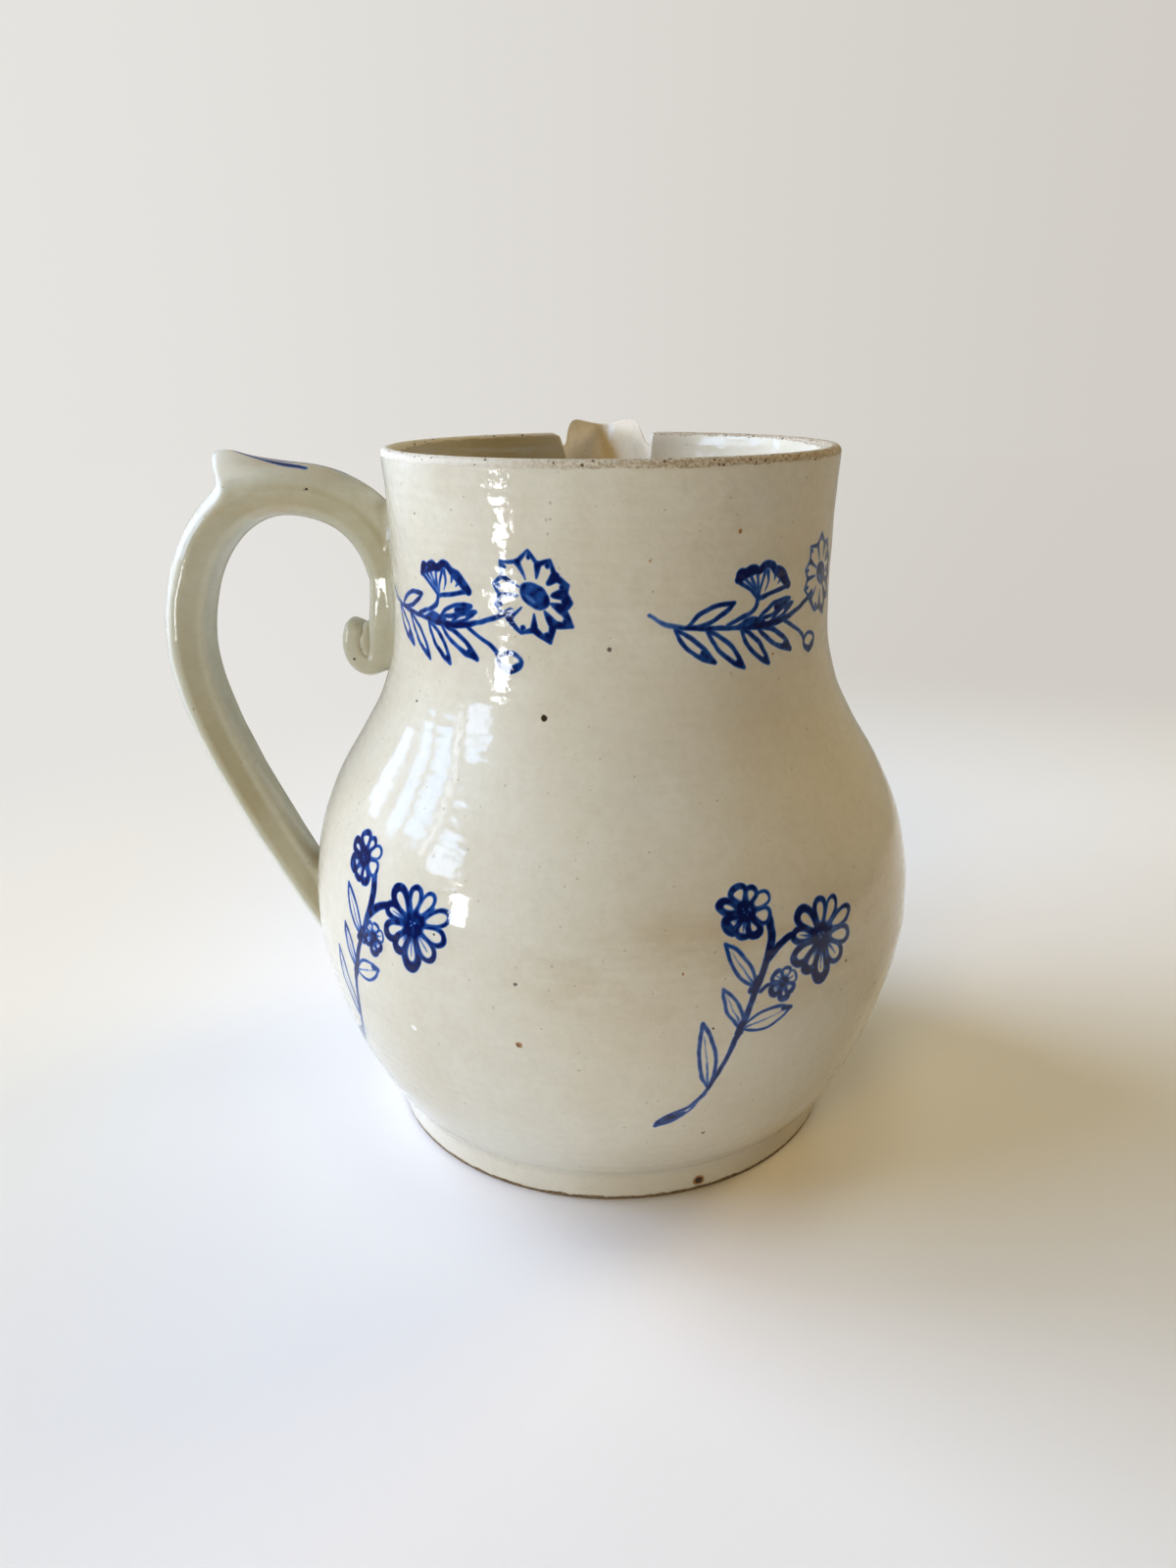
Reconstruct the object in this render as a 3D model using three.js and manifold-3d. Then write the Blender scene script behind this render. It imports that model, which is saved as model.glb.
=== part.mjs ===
// Grey-white stoneware pitcher: a thrown vessel with a handle and a beak spout luted on.
// Millimetres, +Z up. The origin is the centre of the flat base, on the table.
// The handle stands towards -X and the spout towards +Y.
import * as THREE from 'three';
import { mergeVertices } from 'three/addons/utils/BufferGeometryUtils.js';
import Module from 'manifold-3d';

const wasm = await Module();
wasm.setup();

// Vessel: outside sizes. Each fullness says how far a stretch of the profile holds on to
// the direction that it leaves or arrives in.
const RIM_HEIGHT = 175;
const RIM_RADIUS = 55.2;
const NECK_LENGTH = 37;
const NECK_FULLNESS = 0.46;
const WAIST_RADIUS = 54.4;
const SHOULDER_FULLNESS = 0.54;
const BELLY_RADIUS = 78.8;
const BELLY_HEIGHT = 60.5;
const LOWER_BELLY_FULLNESS = 0.25;
const FOOT_RADIUS = 59.3;
const FOOT_FLARE = 0.6;
const FOOT_BAND_HEIGHT = 7;
const FOOT_EDGE_ROUND = 0.5;
const FOOT_CREASE_DEPTH = 0.5;
const FOOT_CREASE_WIDTH = 1.2;
const FOOT_CREASE_LEAN = 44;

// Vessel: walls
const LIP_THICKNESS = 3;
const NECK_WALL = 4.2;
const BELLY_WALL = 5;
const FLOOR_THICKNESS = 7;
const FLOOR_RADIUS = 46;
const FLOOR_FULLNESS = 0.45;

// Handle: the middle line of the strap
const STRAP_ROOT_LENGTH = 12;
const STRAP_ROOT_SINK = 0.8;
const CREST_DROP = 10.3;
const CREST_OFFSET = 25;
const CREST_FULLNESS = 0.58;
const GRIP_REACH = 53.4;
const GRIP_DROP = 49.5;
const GRIP_RISE_FULLNESS = 0.43;
const GRIP_FALL_FULLNESS = 0.28;
const LANDING_DROP = 14.5;
const LANDING_SINK = 1.6;
const LANDING_LEAN = 26;
const LANDING_FULLNESS = 0.3;
const TAIL_LENGTH = 13;
const TAIL_LEAN = 17;

// Handle: the section of the strap
const STRAP_ROOT_THICKNESS = 13.8;
const STRAP_GRIP_THICKNESS = 11.9;
const STRAP_END_THICKNESS = 11;
const STRAP_WIDTH = 17.4;
const STRAP_INNER_WIDTH = 12;
const TAIL_THICKNESS = 7.6;
const TAIL_WIDTH = 12;
const TAIL_INNER_WIDTH = 8.4;

// Handle: thumb spur and scroll
const SPUR_HEIGHT = 8.3;
const SPUR_SLOPE_LENGTH = 14;
const SPUR_BACK_LENGTH = 3.4;
const SPUR_HOLLOW = 1.4;
const SPUR_ALONG = 12;
const SPUR_LEAN = 20;
const SPUR_NARROWING = 0.3;
const SCROLL_RADIUS = 6.6;
const SCROLL_WIDTH = 13;
const SCROLL_EDGE_ROUND = 1.6;
const SCROLL_DROP = 49.6;
const SCROLL_OFFSET = 5.2;
const SCROLL_RIDGE = 1.1;
const SCROLL_RIDGE_THICKNESS = 2;
const SCROLL_RIDGE_ROUND = 0.6;
const SCROLL_TURNS = 1.4;

// Spout. The bulge is the share by which the keel swells ahead of a straight line, and the
// spread says how soon the mouth reaches its full width above the keel's root.
const SPOUT_REACH = 24;
const SPOUT_MOUTH_WIDTH = 27.4;
const SPOUT_DEPTH = 38;
const SPOUT_WALL = 2.2;
const SPOUT_KEEL_WALL = 5.5;
const SPOUT_KEEL_BULGE = 0.25;
const SPOUT_SPREAD = 0.4;
const SPOUT_BEAK_SHARPNESS = 1.8;
const SPOUT_CREST_RISE = 2.8;
const SPOUT_CREST_AHEAD = 11.5;
const SPOUT_TIP_RISE = 1.1;
const SPOUT_ROOT_DROP = 4.5;
const SPOUT_TURN = 1.7;

// Gap that separately made pieces keep where they are luted together
const LUTING_GAP = 0.3;

// How far the bodies that only cut others reach past them
const CUTTER_MARGIN = 30;

// Fineness of the curved surfaces
const ROUND_SEGMENTS = 56;
const CURVE_STEPS = 10;
const SHOULDER_STEPS = 16;
const NECK_STEPS = 4;
const LIP_STEPS = 6;
const STRAP_STEPS = 70;
const SPUR_STEPS = 9;
const SCROLL_STEPS = 40;
const SPOUT_LEVELS = 12;
const SPOUT_EDGE_STEPS = 16;

const degrees = THREE.MathUtils.degToRad;
const lerp = THREE.MathUtils.lerp;
const smoothstep = THREE.MathUtils.smoothstep;
const vec2 = (x, y) => new THREE.Vector2(x, y);

// A closed three.js geometry as a solid
function toSolid(geometry) {
  const plain = geometry.clone();
  plain.deleteAttribute('normal');
  plain.deleteAttribute('uv');
  const merged = mergeVertices(plain, 1e-4);
  const vertProperties = new Float32Array(merged.attributes.position.array);
  const triVerts = new Uint32Array(merged.index.array);
  return new wasm.Manifold(new wasm.Mesh({ numProp: 3, vertProperties, triVerts }));
}

// A solid as a named mesh
function toMesh(name, solid, material) {
  const { vertProperties, triVerts } = solid.getMesh();
  const geometry = new THREE.BufferGeometry();
  geometry.setAttribute('position', new THREE.BufferAttribute(vertProperties, 3));
  geometry.setIndex(new THREE.BufferAttribute(triVerts, 1));
  geometry.computeVertexNormals();
  const mesh = new THREE.Mesh(geometry, material);
  mesh.name = name;
  return mesh;
}

// A closed skin through rings with equal numbers of points, with a flat fan on each end
function loftGeometry(rings) {
  const count = rings[0].length;
  const middle = (ring) => ring.reduce((sum, p) => sum.clone().add(p)).divideScalar(count);
  const points = [...rings.flat(), middle(rings[0]), middle(rings.at(-1))];
  const firstMiddle = points.length - 2;
  const lastMiddle = points.length - 1;
  const lastRing = (rings.length - 1) * count;
  const index = [];
  for (let j = 0; j < count; j++) {
    const k = (j + 1) % count;
    for (let i = 0; i < rings.length - 1; i++) {
      const low = i * count;
      const high = low + count;
      index.push(low + j, low + k, high + k);
      index.push(low + j, high + k, high + j);
    }
    index.push(firstMiddle, k, j);
    index.push(lastMiddle, lastRing + j, lastRing + k);
  }
  const geometry = new THREE.BufferGeometry().setFromPoints(points);
  geometry.setIndex(index);
  return geometry;
}

// Vessel profile, radius against height
const WAIST_HEIGHT = RIM_HEIGHT - NECK_LENGTH;
const FOOT_TOP_RADIUS = FOOT_RADIUS + FOOT_FLARE;
const LIP_RADIUS = LIP_THICKNESS / 2;
const RIM_SIDE_HEIGHT = RIM_HEIGHT - LIP_RADIUS;

// From the belly up to the waist, leaving and arriving upright
function shoulderCurve(bellyRadius, waistRadius) {
  const rise = WAIST_HEIGHT - BELLY_HEIGHT;
  return new THREE.CubicBezierCurve(
    vec2(bellyRadius, BELLY_HEIGHT),
    vec2(bellyRadius, BELLY_HEIGHT + SHOULDER_FULLNESS * rise),
    vec2(waistRadius, WAIST_HEIGHT - NECK_FULLNESS * rise),
    vec2(waistRadius, WAIST_HEIGHT),
  );
}

// From the waist, upright, and a little outwards to the side of the lip
function neckCurve(waistRadius, rimRadius) {
  const middle = (WAIST_HEIGHT + RIM_SIDE_HEIGHT) / 2;
  return new THREE.QuadraticBezierCurve(
    vec2(waistRadius, WAIST_HEIGHT),
    vec2(waistRadius, middle),
    vec2(rimRadius, RIM_SIDE_HEIGHT),
  );
}

// The foot band with its rounded bottom edge, the crease above it, the belly, the
// shoulder and the neck
function outerProfile() {
  const creaseRadius = FOOT_TOP_RADIUS + FOOT_CREASE_DEPTH;
  const creaseHeight = FOOT_BAND_HEIGHT + FOOT_CREASE_WIDTH;
  const lean = degrees(FOOT_CREASE_LEAN);
  const hold = LOWER_BELLY_FULLNESS * (BELLY_HEIGHT - creaseHeight);
  const lowerBelly = new THREE.CubicBezierCurve(
    vec2(creaseRadius, creaseHeight),
    vec2(creaseRadius + hold * Math.cos(lean), creaseHeight + hold * Math.sin(lean)),
    vec2(BELLY_RADIUS, BELLY_HEIGHT - hold),
    vec2(BELLY_RADIUS, BELLY_HEIGHT),
  );
  const halfTurn = FOOT_EDGE_ROUND * (1 - Math.SQRT1_2);
  return [
    vec2(FOOT_RADIUS - FOOT_EDGE_ROUND, 0),
    vec2(FOOT_RADIUS - halfTurn, halfTurn),
    vec2(FOOT_RADIUS, FOOT_EDGE_ROUND),
    vec2(FOOT_TOP_RADIUS, FOOT_BAND_HEIGHT),
    ...lowerBelly.getPoints(CURVE_STEPS),
    ...shoulderCurve(BELLY_RADIUS, WAIST_RADIUS).getPoints(SHOULDER_STEPS).slice(1),
    ...neckCurve(WAIST_RADIUS, RIM_RADIUS).getPoints(NECK_STEPS).slice(1),
  ];
}

// The bowl, the shoulder and the neck on the inside, from the lip down to the floor
function innerProfile() {
  const bellyRadius = BELLY_RADIUS - BELLY_WALL;
  const waistRadius = WAIST_RADIUS - NECK_WALL;
  const bowl = new THREE.CubicBezierCurve(
    vec2(FLOOR_RADIUS, FLOOR_THICKNESS),
    vec2(lerp(FLOOR_RADIUS, bellyRadius, FLOOR_FULLNESS), FLOOR_THICKNESS),
    vec2(bellyRadius, (BELLY_HEIGHT + FLOOR_THICKNESS) / 2),
    vec2(bellyRadius, BELLY_HEIGHT),
  );
  return [
    ...bowl.getPoints(CURVE_STEPS),
    ...shoulderCurve(bellyRadius, waistRadius).getPoints(CURVE_STEPS).slice(1),
    ...neckCurve(waistRadius, RIM_RADIUS - LIP_THICKNESS).getPoints(NECK_STEPS / 2).slice(1),
  ].reverse();
}

// The rounded lip, from outside over the crest to inside, without its two ends
function lipArc() {
  const middle = RIM_RADIUS - LIP_RADIUS;
  return Array.from({ length: LIP_STEPS - 1 }, (_, i) => {
    const angle = Math.PI * (i + 1) / LIP_STEPS;
    return vec2(middle + LIP_RADIUS * Math.cos(angle), RIM_SIDE_HEIGHT + LIP_RADIUS * Math.sin(angle));
  });
}

// Lathe about the upright axis; the profile runs from the axis at the bottom
// outwards, up and back to the axis
function turned(profile) {
  return new THREE.LatheGeometry(profile, ROUND_SEGMENTS).rotateX(Math.PI / 2);
}

function vesselSolid() {
  return toSolid(turned([
    vec2(0, 0),
    ...outerProfile(),
    ...lipArc(),
    ...innerProfile(),
    vec2(0, FLOOR_THICKNESS),
  ]));
}

// The vessel's outside grown by the luting gap and filled, to cut what is luted on
function lutingCutter() {
  const grown = outerProfile().map((p) => vec2(p.x + LUTING_GAP, p.y));
  return toSolid(turned([
    vec2(0, -CUTTER_MARGIN),
    vec2(grown[0].x, -CUTTER_MARGIN),
    ...grown,
    vec2(grown.at(-1).x, RIM_HEIGHT + CUTTER_MARGIN),
    vec2(0, RIM_HEIGHT + CUTTER_MARGIN),
  ]));
}

// Outside radius of the vessel at a height
function outerRadius(height) {
  const profile = outerProfile();
  const top = profile.findIndex((p) => p.y >= height);
  if (top <= 0) {
    return top === 0 ? profile[0].x : profile.at(-1).x;
  }
  const [below, above] = [profile[top - 1], profile[top]];
  return lerp(below.x, above.x, (height - below.y) / (above.y - below.y));
}

// Middle line of the strap in the upright plane through the axis: distance from the
// axis against height, from the neck over the crest and down the grip to the belly
function strapPath() {
  const rootHeight = RIM_HEIGHT - SCROLL_DROP;
  const root = vec2(outerRadius(rootHeight), rootHeight);
  const bend = vec2(WAIST_RADIUS - STRAP_ROOT_SINK, rootHeight + STRAP_ROOT_LENGTH);
  const crest = vec2(WAIST_RADIUS + CREST_OFFSET, RIM_HEIGHT - CREST_DROP);
  const grip = vec2(WAIST_RADIUS + GRIP_REACH, RIM_HEIGHT - GRIP_DROP);
  const landingHeight = BELLY_HEIGHT - LANDING_DROP;
  const landing = vec2(outerRadius(landingHeight) - LANDING_SINK, landingHeight);
  const lean = degrees(LANDING_LEAN);
  const fall = grip.y - landing.y;
  const arrive = vec2(Math.sin(lean), Math.cos(lean)).multiplyScalar(LANDING_FULLNESS * fall);
  const tailLean = degrees(TAIL_LEAN);
  const tail = vec2(Math.sin(tailLean), Math.cos(tailLean)).multiplyScalar(-TAIL_LENGTH).add(landing);

  const path = new THREE.CurvePath();
  path.add(new THREE.LineCurve(root, bend));
  path.add(new THREE.CubicBezierCurve(
    bend,
    vec2(bend.x, lerp(bend.y, crest.y, 0.7)),
    vec2((crest.x + bend.x) / 2, crest.y),
    crest,
  ));
  path.add(new THREE.CubicBezierCurve(
    crest,
    vec2(lerp(crest.x, grip.x, CREST_FULLNESS), crest.y),
    vec2(grip.x, lerp(grip.y, crest.y, 1 - GRIP_RISE_FULLNESS)),
    grip,
  ));
  path.add(new THREE.CubicBezierCurve(
    grip,
    vec2(grip.x, grip.y - GRIP_FALL_FULLNESS * fall),
    landing.clone().add(arrive),
    landing,
  ));
  path.add(new THREE.LineCurve(landing, tail));
  return path;
}

// The strap's section as [outward, sideways]: a crowned outer face, a side that slopes
// in to the inner width, and a rounded inner face
function strapSection(thickness, width, innerWidth) {
  const crownEdge = 0.05 * thickness;
  const sideEnd = -0.32 * thickness;
  const crown = thickness / 2 - crownEdge;
  const ridge = thickness / 2 + sideEnd;
  const half = [];
  for (const angle of [0, 25, 50, 72, 90].map(degrees)) {
    half.push([crownEdge + crown * Math.cos(angle), width / 2 * Math.sin(angle)]);
  }
  for (const angle of [0, 40, 75].map(degrees)) {
    half.push([sideEnd - ridge * Math.sin(angle), innerWidth / 2 * Math.cos(angle)]);
  }
  const back = half.slice(1).reverse().map(([out, side]) => [out, -side]);
  return [...half, ...back];
}

// Rise of the thumb spur at a distance past its tip, along the strap: a long hollow
// slope up to the tip and a short steep one down its back
function spurRise(past) {
  const length = past < 0 ? SPUR_SLOPE_LENGTH : SPUR_BACK_LENGTH;
  const left = Math.max(0, 1 - Math.abs(past) / length);
  return SPUR_HEIGHT * left ** SPUR_HOLLOW;
}

// Shares of the strap's length at which its section stands: even steps, and closer
// ones from the upper half of the spur's slope to the foot of its back
function strapStations(length, spurAt) {
  const fine = Array.from({ length: SPUR_STEPS }, (_, i) => (
    (spurAt + lerp(-SPUR_SLOPE_LENGTH / 2, SPUR_BACK_LENGTH, i / (SPUR_STEPS - 1))) / length
  ));
  const even = Array.from({ length: STRAP_STEPS + 1 }, (_, i) => i / STRAP_STEPS);
  const room = 0.3 / STRAP_STEPS;
  const clear = even.filter((share) => share < fine[0] - room || share > fine.at(-1) + room);
  return [...clear, ...fine].sort((a, b) => a - b);
}

// The strap as a loft of its section. The spur lifts the outer face straight up.
function strapSolid() {
  const path = strapPath();
  const length = path.getLength();
  const [, crestAt, gripAt, landingAt] = path.getCurveLengths();
  const leanShift = Math.tan(degrees(SPUR_LEAN));
  const spurAt = crestAt + SPUR_ALONG;
  const rings = [];
  for (const share of strapStations(length, spurAt)) {
    const along = share * length;
    const centre = path.getPointAt(share);
    const tangent = path.getTangentAt(share);
    const outward = vec2(-tangent.y, tangent.x);
    const full = along < gripAt
      ? lerp(STRAP_ROOT_THICKNESS, STRAP_GRIP_THICKNESS, along / gripAt)
      : lerp(STRAP_GRIP_THICKNESS, STRAP_END_THICKNESS, (along - gripAt) / (length - gripAt));
    const thinning = smoothstep(along, landingAt - TAIL_LENGTH / 2, length);
    const thickness = lerp(full, TAIL_THICKNESS, thinning);
    const width = lerp(STRAP_WIDTH, TAIL_WIDTH, thinning);
    const innerWidth = lerp(STRAP_INNER_WIDTH, TAIL_INNER_WIDTH, thinning);
    const rise = spurRise(along - spurAt);
    rings.push(strapSection(thickness, width, innerWidth).map(([out, side]) => {
      const lift = rise * Math.max(0, out / (thickness / 2));
      const across = side * (1 - SPUR_NARROWING * lift / SPUR_HEIGHT);
      const distance = centre.x + outward.x * out + lift * leanShift;
      return new THREE.Vector3(-distance, across, centre.y + outward.y * out + lift);
    }));
  }
  return toSolid(loftGeometry(rings));
}

// Scroll at the foot of the neck join: a rounded disc with a spiral ridge that stands
// proud of both faces
function scrollSolid() {
  const height = RIM_HEIGHT - SCROLL_DROP;
  const half = SCROLL_WIDTH / 2;
  const edge = SCROLL_EDGE_ROUND;
  const halfTurn = edge * (1 - Math.SQRT1_2);
  const disc = new THREE.LatheGeometry([
    vec2(0, -half),
    vec2(SCROLL_RADIUS - edge, -half),
    vec2(SCROLL_RADIUS - halfTurn, -half + halfTurn),
    vec2(SCROLL_RADIUS, -half + edge),
    vec2(SCROLL_RADIUS, half - edge),
    vec2(SCROLL_RADIUS - halfTurn, half - halfTurn),
    vec2(SCROLL_RADIUS - edge, half),
    vec2(0, half),
  ], SCROLL_STEPS - 8);

  const outerTurn = SCROLL_RADIUS - SCROLL_RIDGE_THICKNESS;
  const innerTurn = SCROLL_RIDGE_THICKNESS;
  const ridgeHalf = half + SCROLL_RIDGE;
  const rings = [];
  for (let i = 0; i <= SCROLL_STEPS; i++) {
    const angle = -Math.PI / 2 + 2 * Math.PI * SCROLL_TURNS * i / SCROLL_STEPS;
    const turn = lerp(outerTurn, innerTurn, i / SCROLL_STEPS);
    const thick = SCROLL_RIDGE_THICKNESS / 2 * lerp(1, 0.7, i / SCROLL_STEPS);
    const crown = 0.4 * thick;
    const shoulder = ridgeHalf - SCROLL_RIDGE_ROUND;
    const near = [[thick, shoulder], [crown, ridgeHalf], [-crown, ridgeHalf], [-thick, shoulder]];
    const outline = [...near, ...near.map(([r, y]) => [r, -y]).reverse()];
    rings.push(outline.map(([r, y]) => new THREE.Vector3(
      (turn + r) * Math.cos(angle),
      y,
      (turn + r) * Math.sin(angle),
    )));
  }
  const ridge = toSolid(loftGeometry(rings));
  const centreDistance = outerRadius(height) + SCROLL_OFFSET;
  return toSolid(disc).add(ridge).translate([-centreDistance, 0, height]);
}

// Spout: plan outline at a height. The sides leave the neck half a mouth apart and
// close, almost straight, to a rounded point. Breadth and reach shrink to nothing
// towards the keel's root.
function spoutRing(height, reach, halfWidth, rootHeight, inset) {
  const grow = Math.max(0.02, (height - rootHeight) / (RIM_HEIGHT - rootHeight));
  const half = halfWidth * grow ** SPOUT_SPREAD;
  const ahead = reach * grow * (1 + SPOUT_KEEL_BULGE * Math.max(0, 1 - grow));
  const start = Math.sqrt(outerRadius(height) ** 2 - half ** 2);
  const outline = [];
  for (let i = -CURVE_STEPS; i <= CURVE_STEPS; i++) {
    const a = i / CURVE_STEPS;
    const side = Math.sign(a) * half * Math.abs(a) ** SPOUT_BEAK_SHARPNESS;
    outline.push([side, start + ahead * (1 - a * a)]);
  }
  const ring = [[-half, start - inset], ...outline, [half, start - inset]];
  return ring.map(([x, y]) => new THREE.Vector3(x, y, height)).reverse();
}

function spoutLoft(reach, halfWidth, rootHeight, inset, topHeight) {
  const rings = Array.from({ length: SPOUT_LEVELS + 1 }, (_, i) => {
    const height = lerp(rootHeight, topHeight, i / SPOUT_LEVELS);
    return spoutRing(height, reach, halfWidth, rootHeight, inset);
  });
  return toSolid(loftGeometry(rings));
}

// The channel that the water runs through, from inside the neck out to the tip
function spoutChannel() {
  const root = RIM_HEIGHT - SPOUT_DEPTH + SPOUT_KEEL_WALL;
  const top = RIM_HEIGHT + 2 * SPOUT_CREST_RISE + 1;
  return spoutLoft(SPOUT_REACH, SPOUT_MOUTH_WIDTH / 2, root, 2.5 * NECK_WALL, top)
    .rotate([0, 0, SPOUT_TURN]);
}

// Everything above the spout's waved edge, which dips at the neck, crests at the
// middle of each side and falls a little to the tip
function spoutEdgeCutter() {
  const edge = new THREE.SplineCurve([
    vec2(RIM_RADIUS - LIP_THICKNESS, RIM_HEIGHT - SPOUT_ROOT_DROP),
    vec2(RIM_RADIUS + 0.3 * SPOUT_CREST_AHEAD, RIM_HEIGHT - 0.7 * SPOUT_ROOT_DROP),
    vec2(RIM_RADIUS + SPOUT_CREST_AHEAD, RIM_HEIGHT + SPOUT_CREST_RISE),
    vec2(RIM_RADIUS + SPOUT_REACH + SPOUT_WALL, RIM_HEIGHT + SPOUT_TIP_RISE),
  ]).getPoints(SPOUT_EDGE_STEPS);
  const last = edge.at(-1);
  const top = RIM_HEIGHT + CUTTER_MARGIN;
  const shape = new THREE.Shape([
    ...edge,
    vec2(last.x + CUTTER_MARGIN, last.y),
    vec2(last.x + CUTTER_MARGIN, top),
    vec2(0, top),
    vec2(0, edge[0].y),
  ]);
  const breadth = 2 * SPOUT_MOUTH_WIDTH;
  const block = new THREE.ExtrudeGeometry(shape, { depth: breadth, bevelEnabled: false });
  block.translate(0, 0, -breadth / 2);
  const sideways = new THREE.Vector3(0, 1, 0);
  const upwards = new THREE.Vector3(0, 0, 1);
  const across = new THREE.Vector3(1, 0, 0);
  block.applyMatrix4(new THREE.Matrix4().makeBasis(sideways, upwards, across));
  return toSolid(block).rotate([0, 0, SPOUT_TURN]);
}

function spoutSolid() {
  const root = RIM_HEIGHT - SPOUT_DEPTH;
  const half = SPOUT_MOUTH_WIDTH / 2 + SPOUT_WALL;
  const top = RIM_HEIGHT + 2 * SPOUT_CREST_RISE;
  return spoutLoft(SPOUT_REACH + SPOUT_WALL, half, root, NECK_WALL, top)
    .rotate([0, 0, SPOUT_TURN])
    .subtract(spoutChannel())
    .subtract(spoutEdgeCutter())
    .subtract(lutingCutter());
}

// Warm grey-white glaze, a shade warmer on the handle
const bodyGlaze = new THREE.MeshStandardMaterial({ color: 0xd9d5c9, roughness: 0.22, metalness: 0 });
const handleGlaze = new THREE.MeshStandardMaterial({ color: 0xd3cfc2, roughness: 0.22, metalness: 0 });
const spoutGlaze = new THREE.MeshStandardMaterial({ color: 0xdedbd1, roughness: 0.2, metalness: 0 });

const pitcher = new THREE.Group();
pitcher.add(toMesh('body', vesselSolid().subtract(spoutChannel()), bodyGlaze));
pitcher.add(toMesh('handle', strapSolid().add(scrollSolid()).subtract(lutingCutter()), handleGlaze));
pitcher.add(toMesh('spout', spoutSolid(), spoutGlaze));

export default pitcher;
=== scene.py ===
import math

import bpy
import numpy as np
from mathutils import Matrix


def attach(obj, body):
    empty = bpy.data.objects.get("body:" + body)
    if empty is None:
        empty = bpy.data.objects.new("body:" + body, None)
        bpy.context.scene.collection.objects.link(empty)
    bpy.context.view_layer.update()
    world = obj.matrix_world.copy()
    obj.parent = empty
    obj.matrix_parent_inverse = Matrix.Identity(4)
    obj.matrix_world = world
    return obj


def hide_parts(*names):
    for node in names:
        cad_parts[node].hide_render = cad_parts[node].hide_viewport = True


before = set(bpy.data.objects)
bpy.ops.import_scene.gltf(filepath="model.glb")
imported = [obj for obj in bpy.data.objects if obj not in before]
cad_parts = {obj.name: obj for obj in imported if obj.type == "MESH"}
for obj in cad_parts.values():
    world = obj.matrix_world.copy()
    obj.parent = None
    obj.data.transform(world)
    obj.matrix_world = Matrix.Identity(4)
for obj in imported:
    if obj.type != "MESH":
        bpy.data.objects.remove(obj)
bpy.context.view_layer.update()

# Sizes in millimetres, as in the part's solids

RIM_HEIGHT = 175.0
RIM_RADIUS = 55.2
NECK_LENGTH = 37.0
NECK_FULLNESS = 0.46
WAIST_RADIUS = 54.4
SHOULDER_FULLNESS = 0.54
BELLY_RADIUS = 78.8
BELLY_HEIGHT = 60.5
LOWER_BELLY_FULLNESS = 0.25
FOOT_RADIUS = 59.3
FOOT_FLARE = 0.6
FOOT_BAND_HEIGHT = 7.0
FOOT_EDGE_ROUND = 0.7
FOOT_CREASE_DEPTH = 0.5
FOOT_CREASE_WIDTH = 1.2
FOOT_CREASE_LEAN = 44.0
LIP_THICKNESS = 3.0
NECK_WALL = 4.2
BELLY_WALL = 5.0
FLOOR_THICKNESS = 7.0
FLOOR_RADIUS = 46.0
FLOOR_FULLNESS = 0.45

NOTCH_WIDTH = 27.4
NOTCH_DEPTH = 32.5
NOTCH_LEFT_CURVE = 0.6
NOTCH_RIGHT_CURVE = 0.3
NOTCH_TILT = 0.12
NOTCH_TILT_FADE = 20.0
SPLIT_HEIGHT = 128.0
VESSEL_COLUMNS = 372
WALL_UNEVEN = 0.22
WALL_RING_DEPTH = 0.06
INSIDE_RING_DEPTH = 0.15
LIP_SQUARENESS = 0.45
BASE_HOLLOW = 0.5
BASE_RINGS = (
    (20.0, BASE_HOLLOW), (40.0, BASE_HOLLOW), (49.0, 0.45), (51.0, 0.1), (52.0, 0.0), (55.0, 0.0), (57.5, 0.0),
)

SPOUT_REACH = 22.4
SPOUT_DEPTH = 38.0
SPOUT_WALL = 2.2
SPOUT_KEEL_BULGE = 0.25
SPOUT_BEAK_SHARPNESS = 1.8
SPOUT_CHANNEL_SHARPNESS = 1.2
SPOUT_CREST_RISE = 2.7
SPOUT_CREST_AHEAD = 11.5
SPOUT_TIP_RISE = 1.1
SPOUT_ROOT_DROP = 4.5
SPOUT_TURN = 1.7
SPOUT_EDGE_ROUND = 0.9
SPOUT_FLARE = 1.4

STRAP_ROOT_LENGTH = 12.0
STRAP_ROOT_SINK = 0.8
SCROLL_DROP = 49.6
CREST_DROP = 10.3
CREST_OFFSET = 25.0
CREST_FULLNESS = 0.58
GRIP_REACH = 53.4
GRIP_DROP = 49.5
GRIP_RISE_FULLNESS = 0.43
GRIP_FALL_FULLNESS = 0.28
LANDING_DROP = 14.5
LANDING_SINK = 1.6
LANDING_LEAN = 26.0
LANDING_FULLNESS = 0.3
TAIL_LENGTH = 13.0
TAIL_LEAN = 17.0
STRAP_ROOT_THICKNESS = 13.8
STRAP_GRIP_THICKNESS = 11.9
STRAP_END_THICKNESS = 11.0
STRAP_WIDTH = 17.4
STRAP_INNER_WIDTH = 12.0
TAIL_THICKNESS = 7.6
TAIL_WIDTH = 12.0
SPUR_HEIGHT = 8.3
SPUR_SLOPE_LENGTH = 14.0
SPUR_BACK_LENGTH = 3.2
SPUR_HOLLOW = 2.4
SPUR_ALONG = 11.4
SPUR_LEAN = 24.0
SPUR_KNOB_OUT = 1.9
SPUR_KNOB_LENGTH = 1.7
STRAP_DEPTH = 2.0
STRAP_FLARE = 1.8
STRAP_TIP_ROUND = 2.2
STRAP_TAIL_ROUND = 3.5
STRAP_UNEVEN = 0.12
CHIP_PLACE = (-83.0, -4.6, 58.6)
CHIP_DEPTH = 1.3
STRAP_STATIONS = 640
STRAP_SECTION_POINTS = 112
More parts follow.
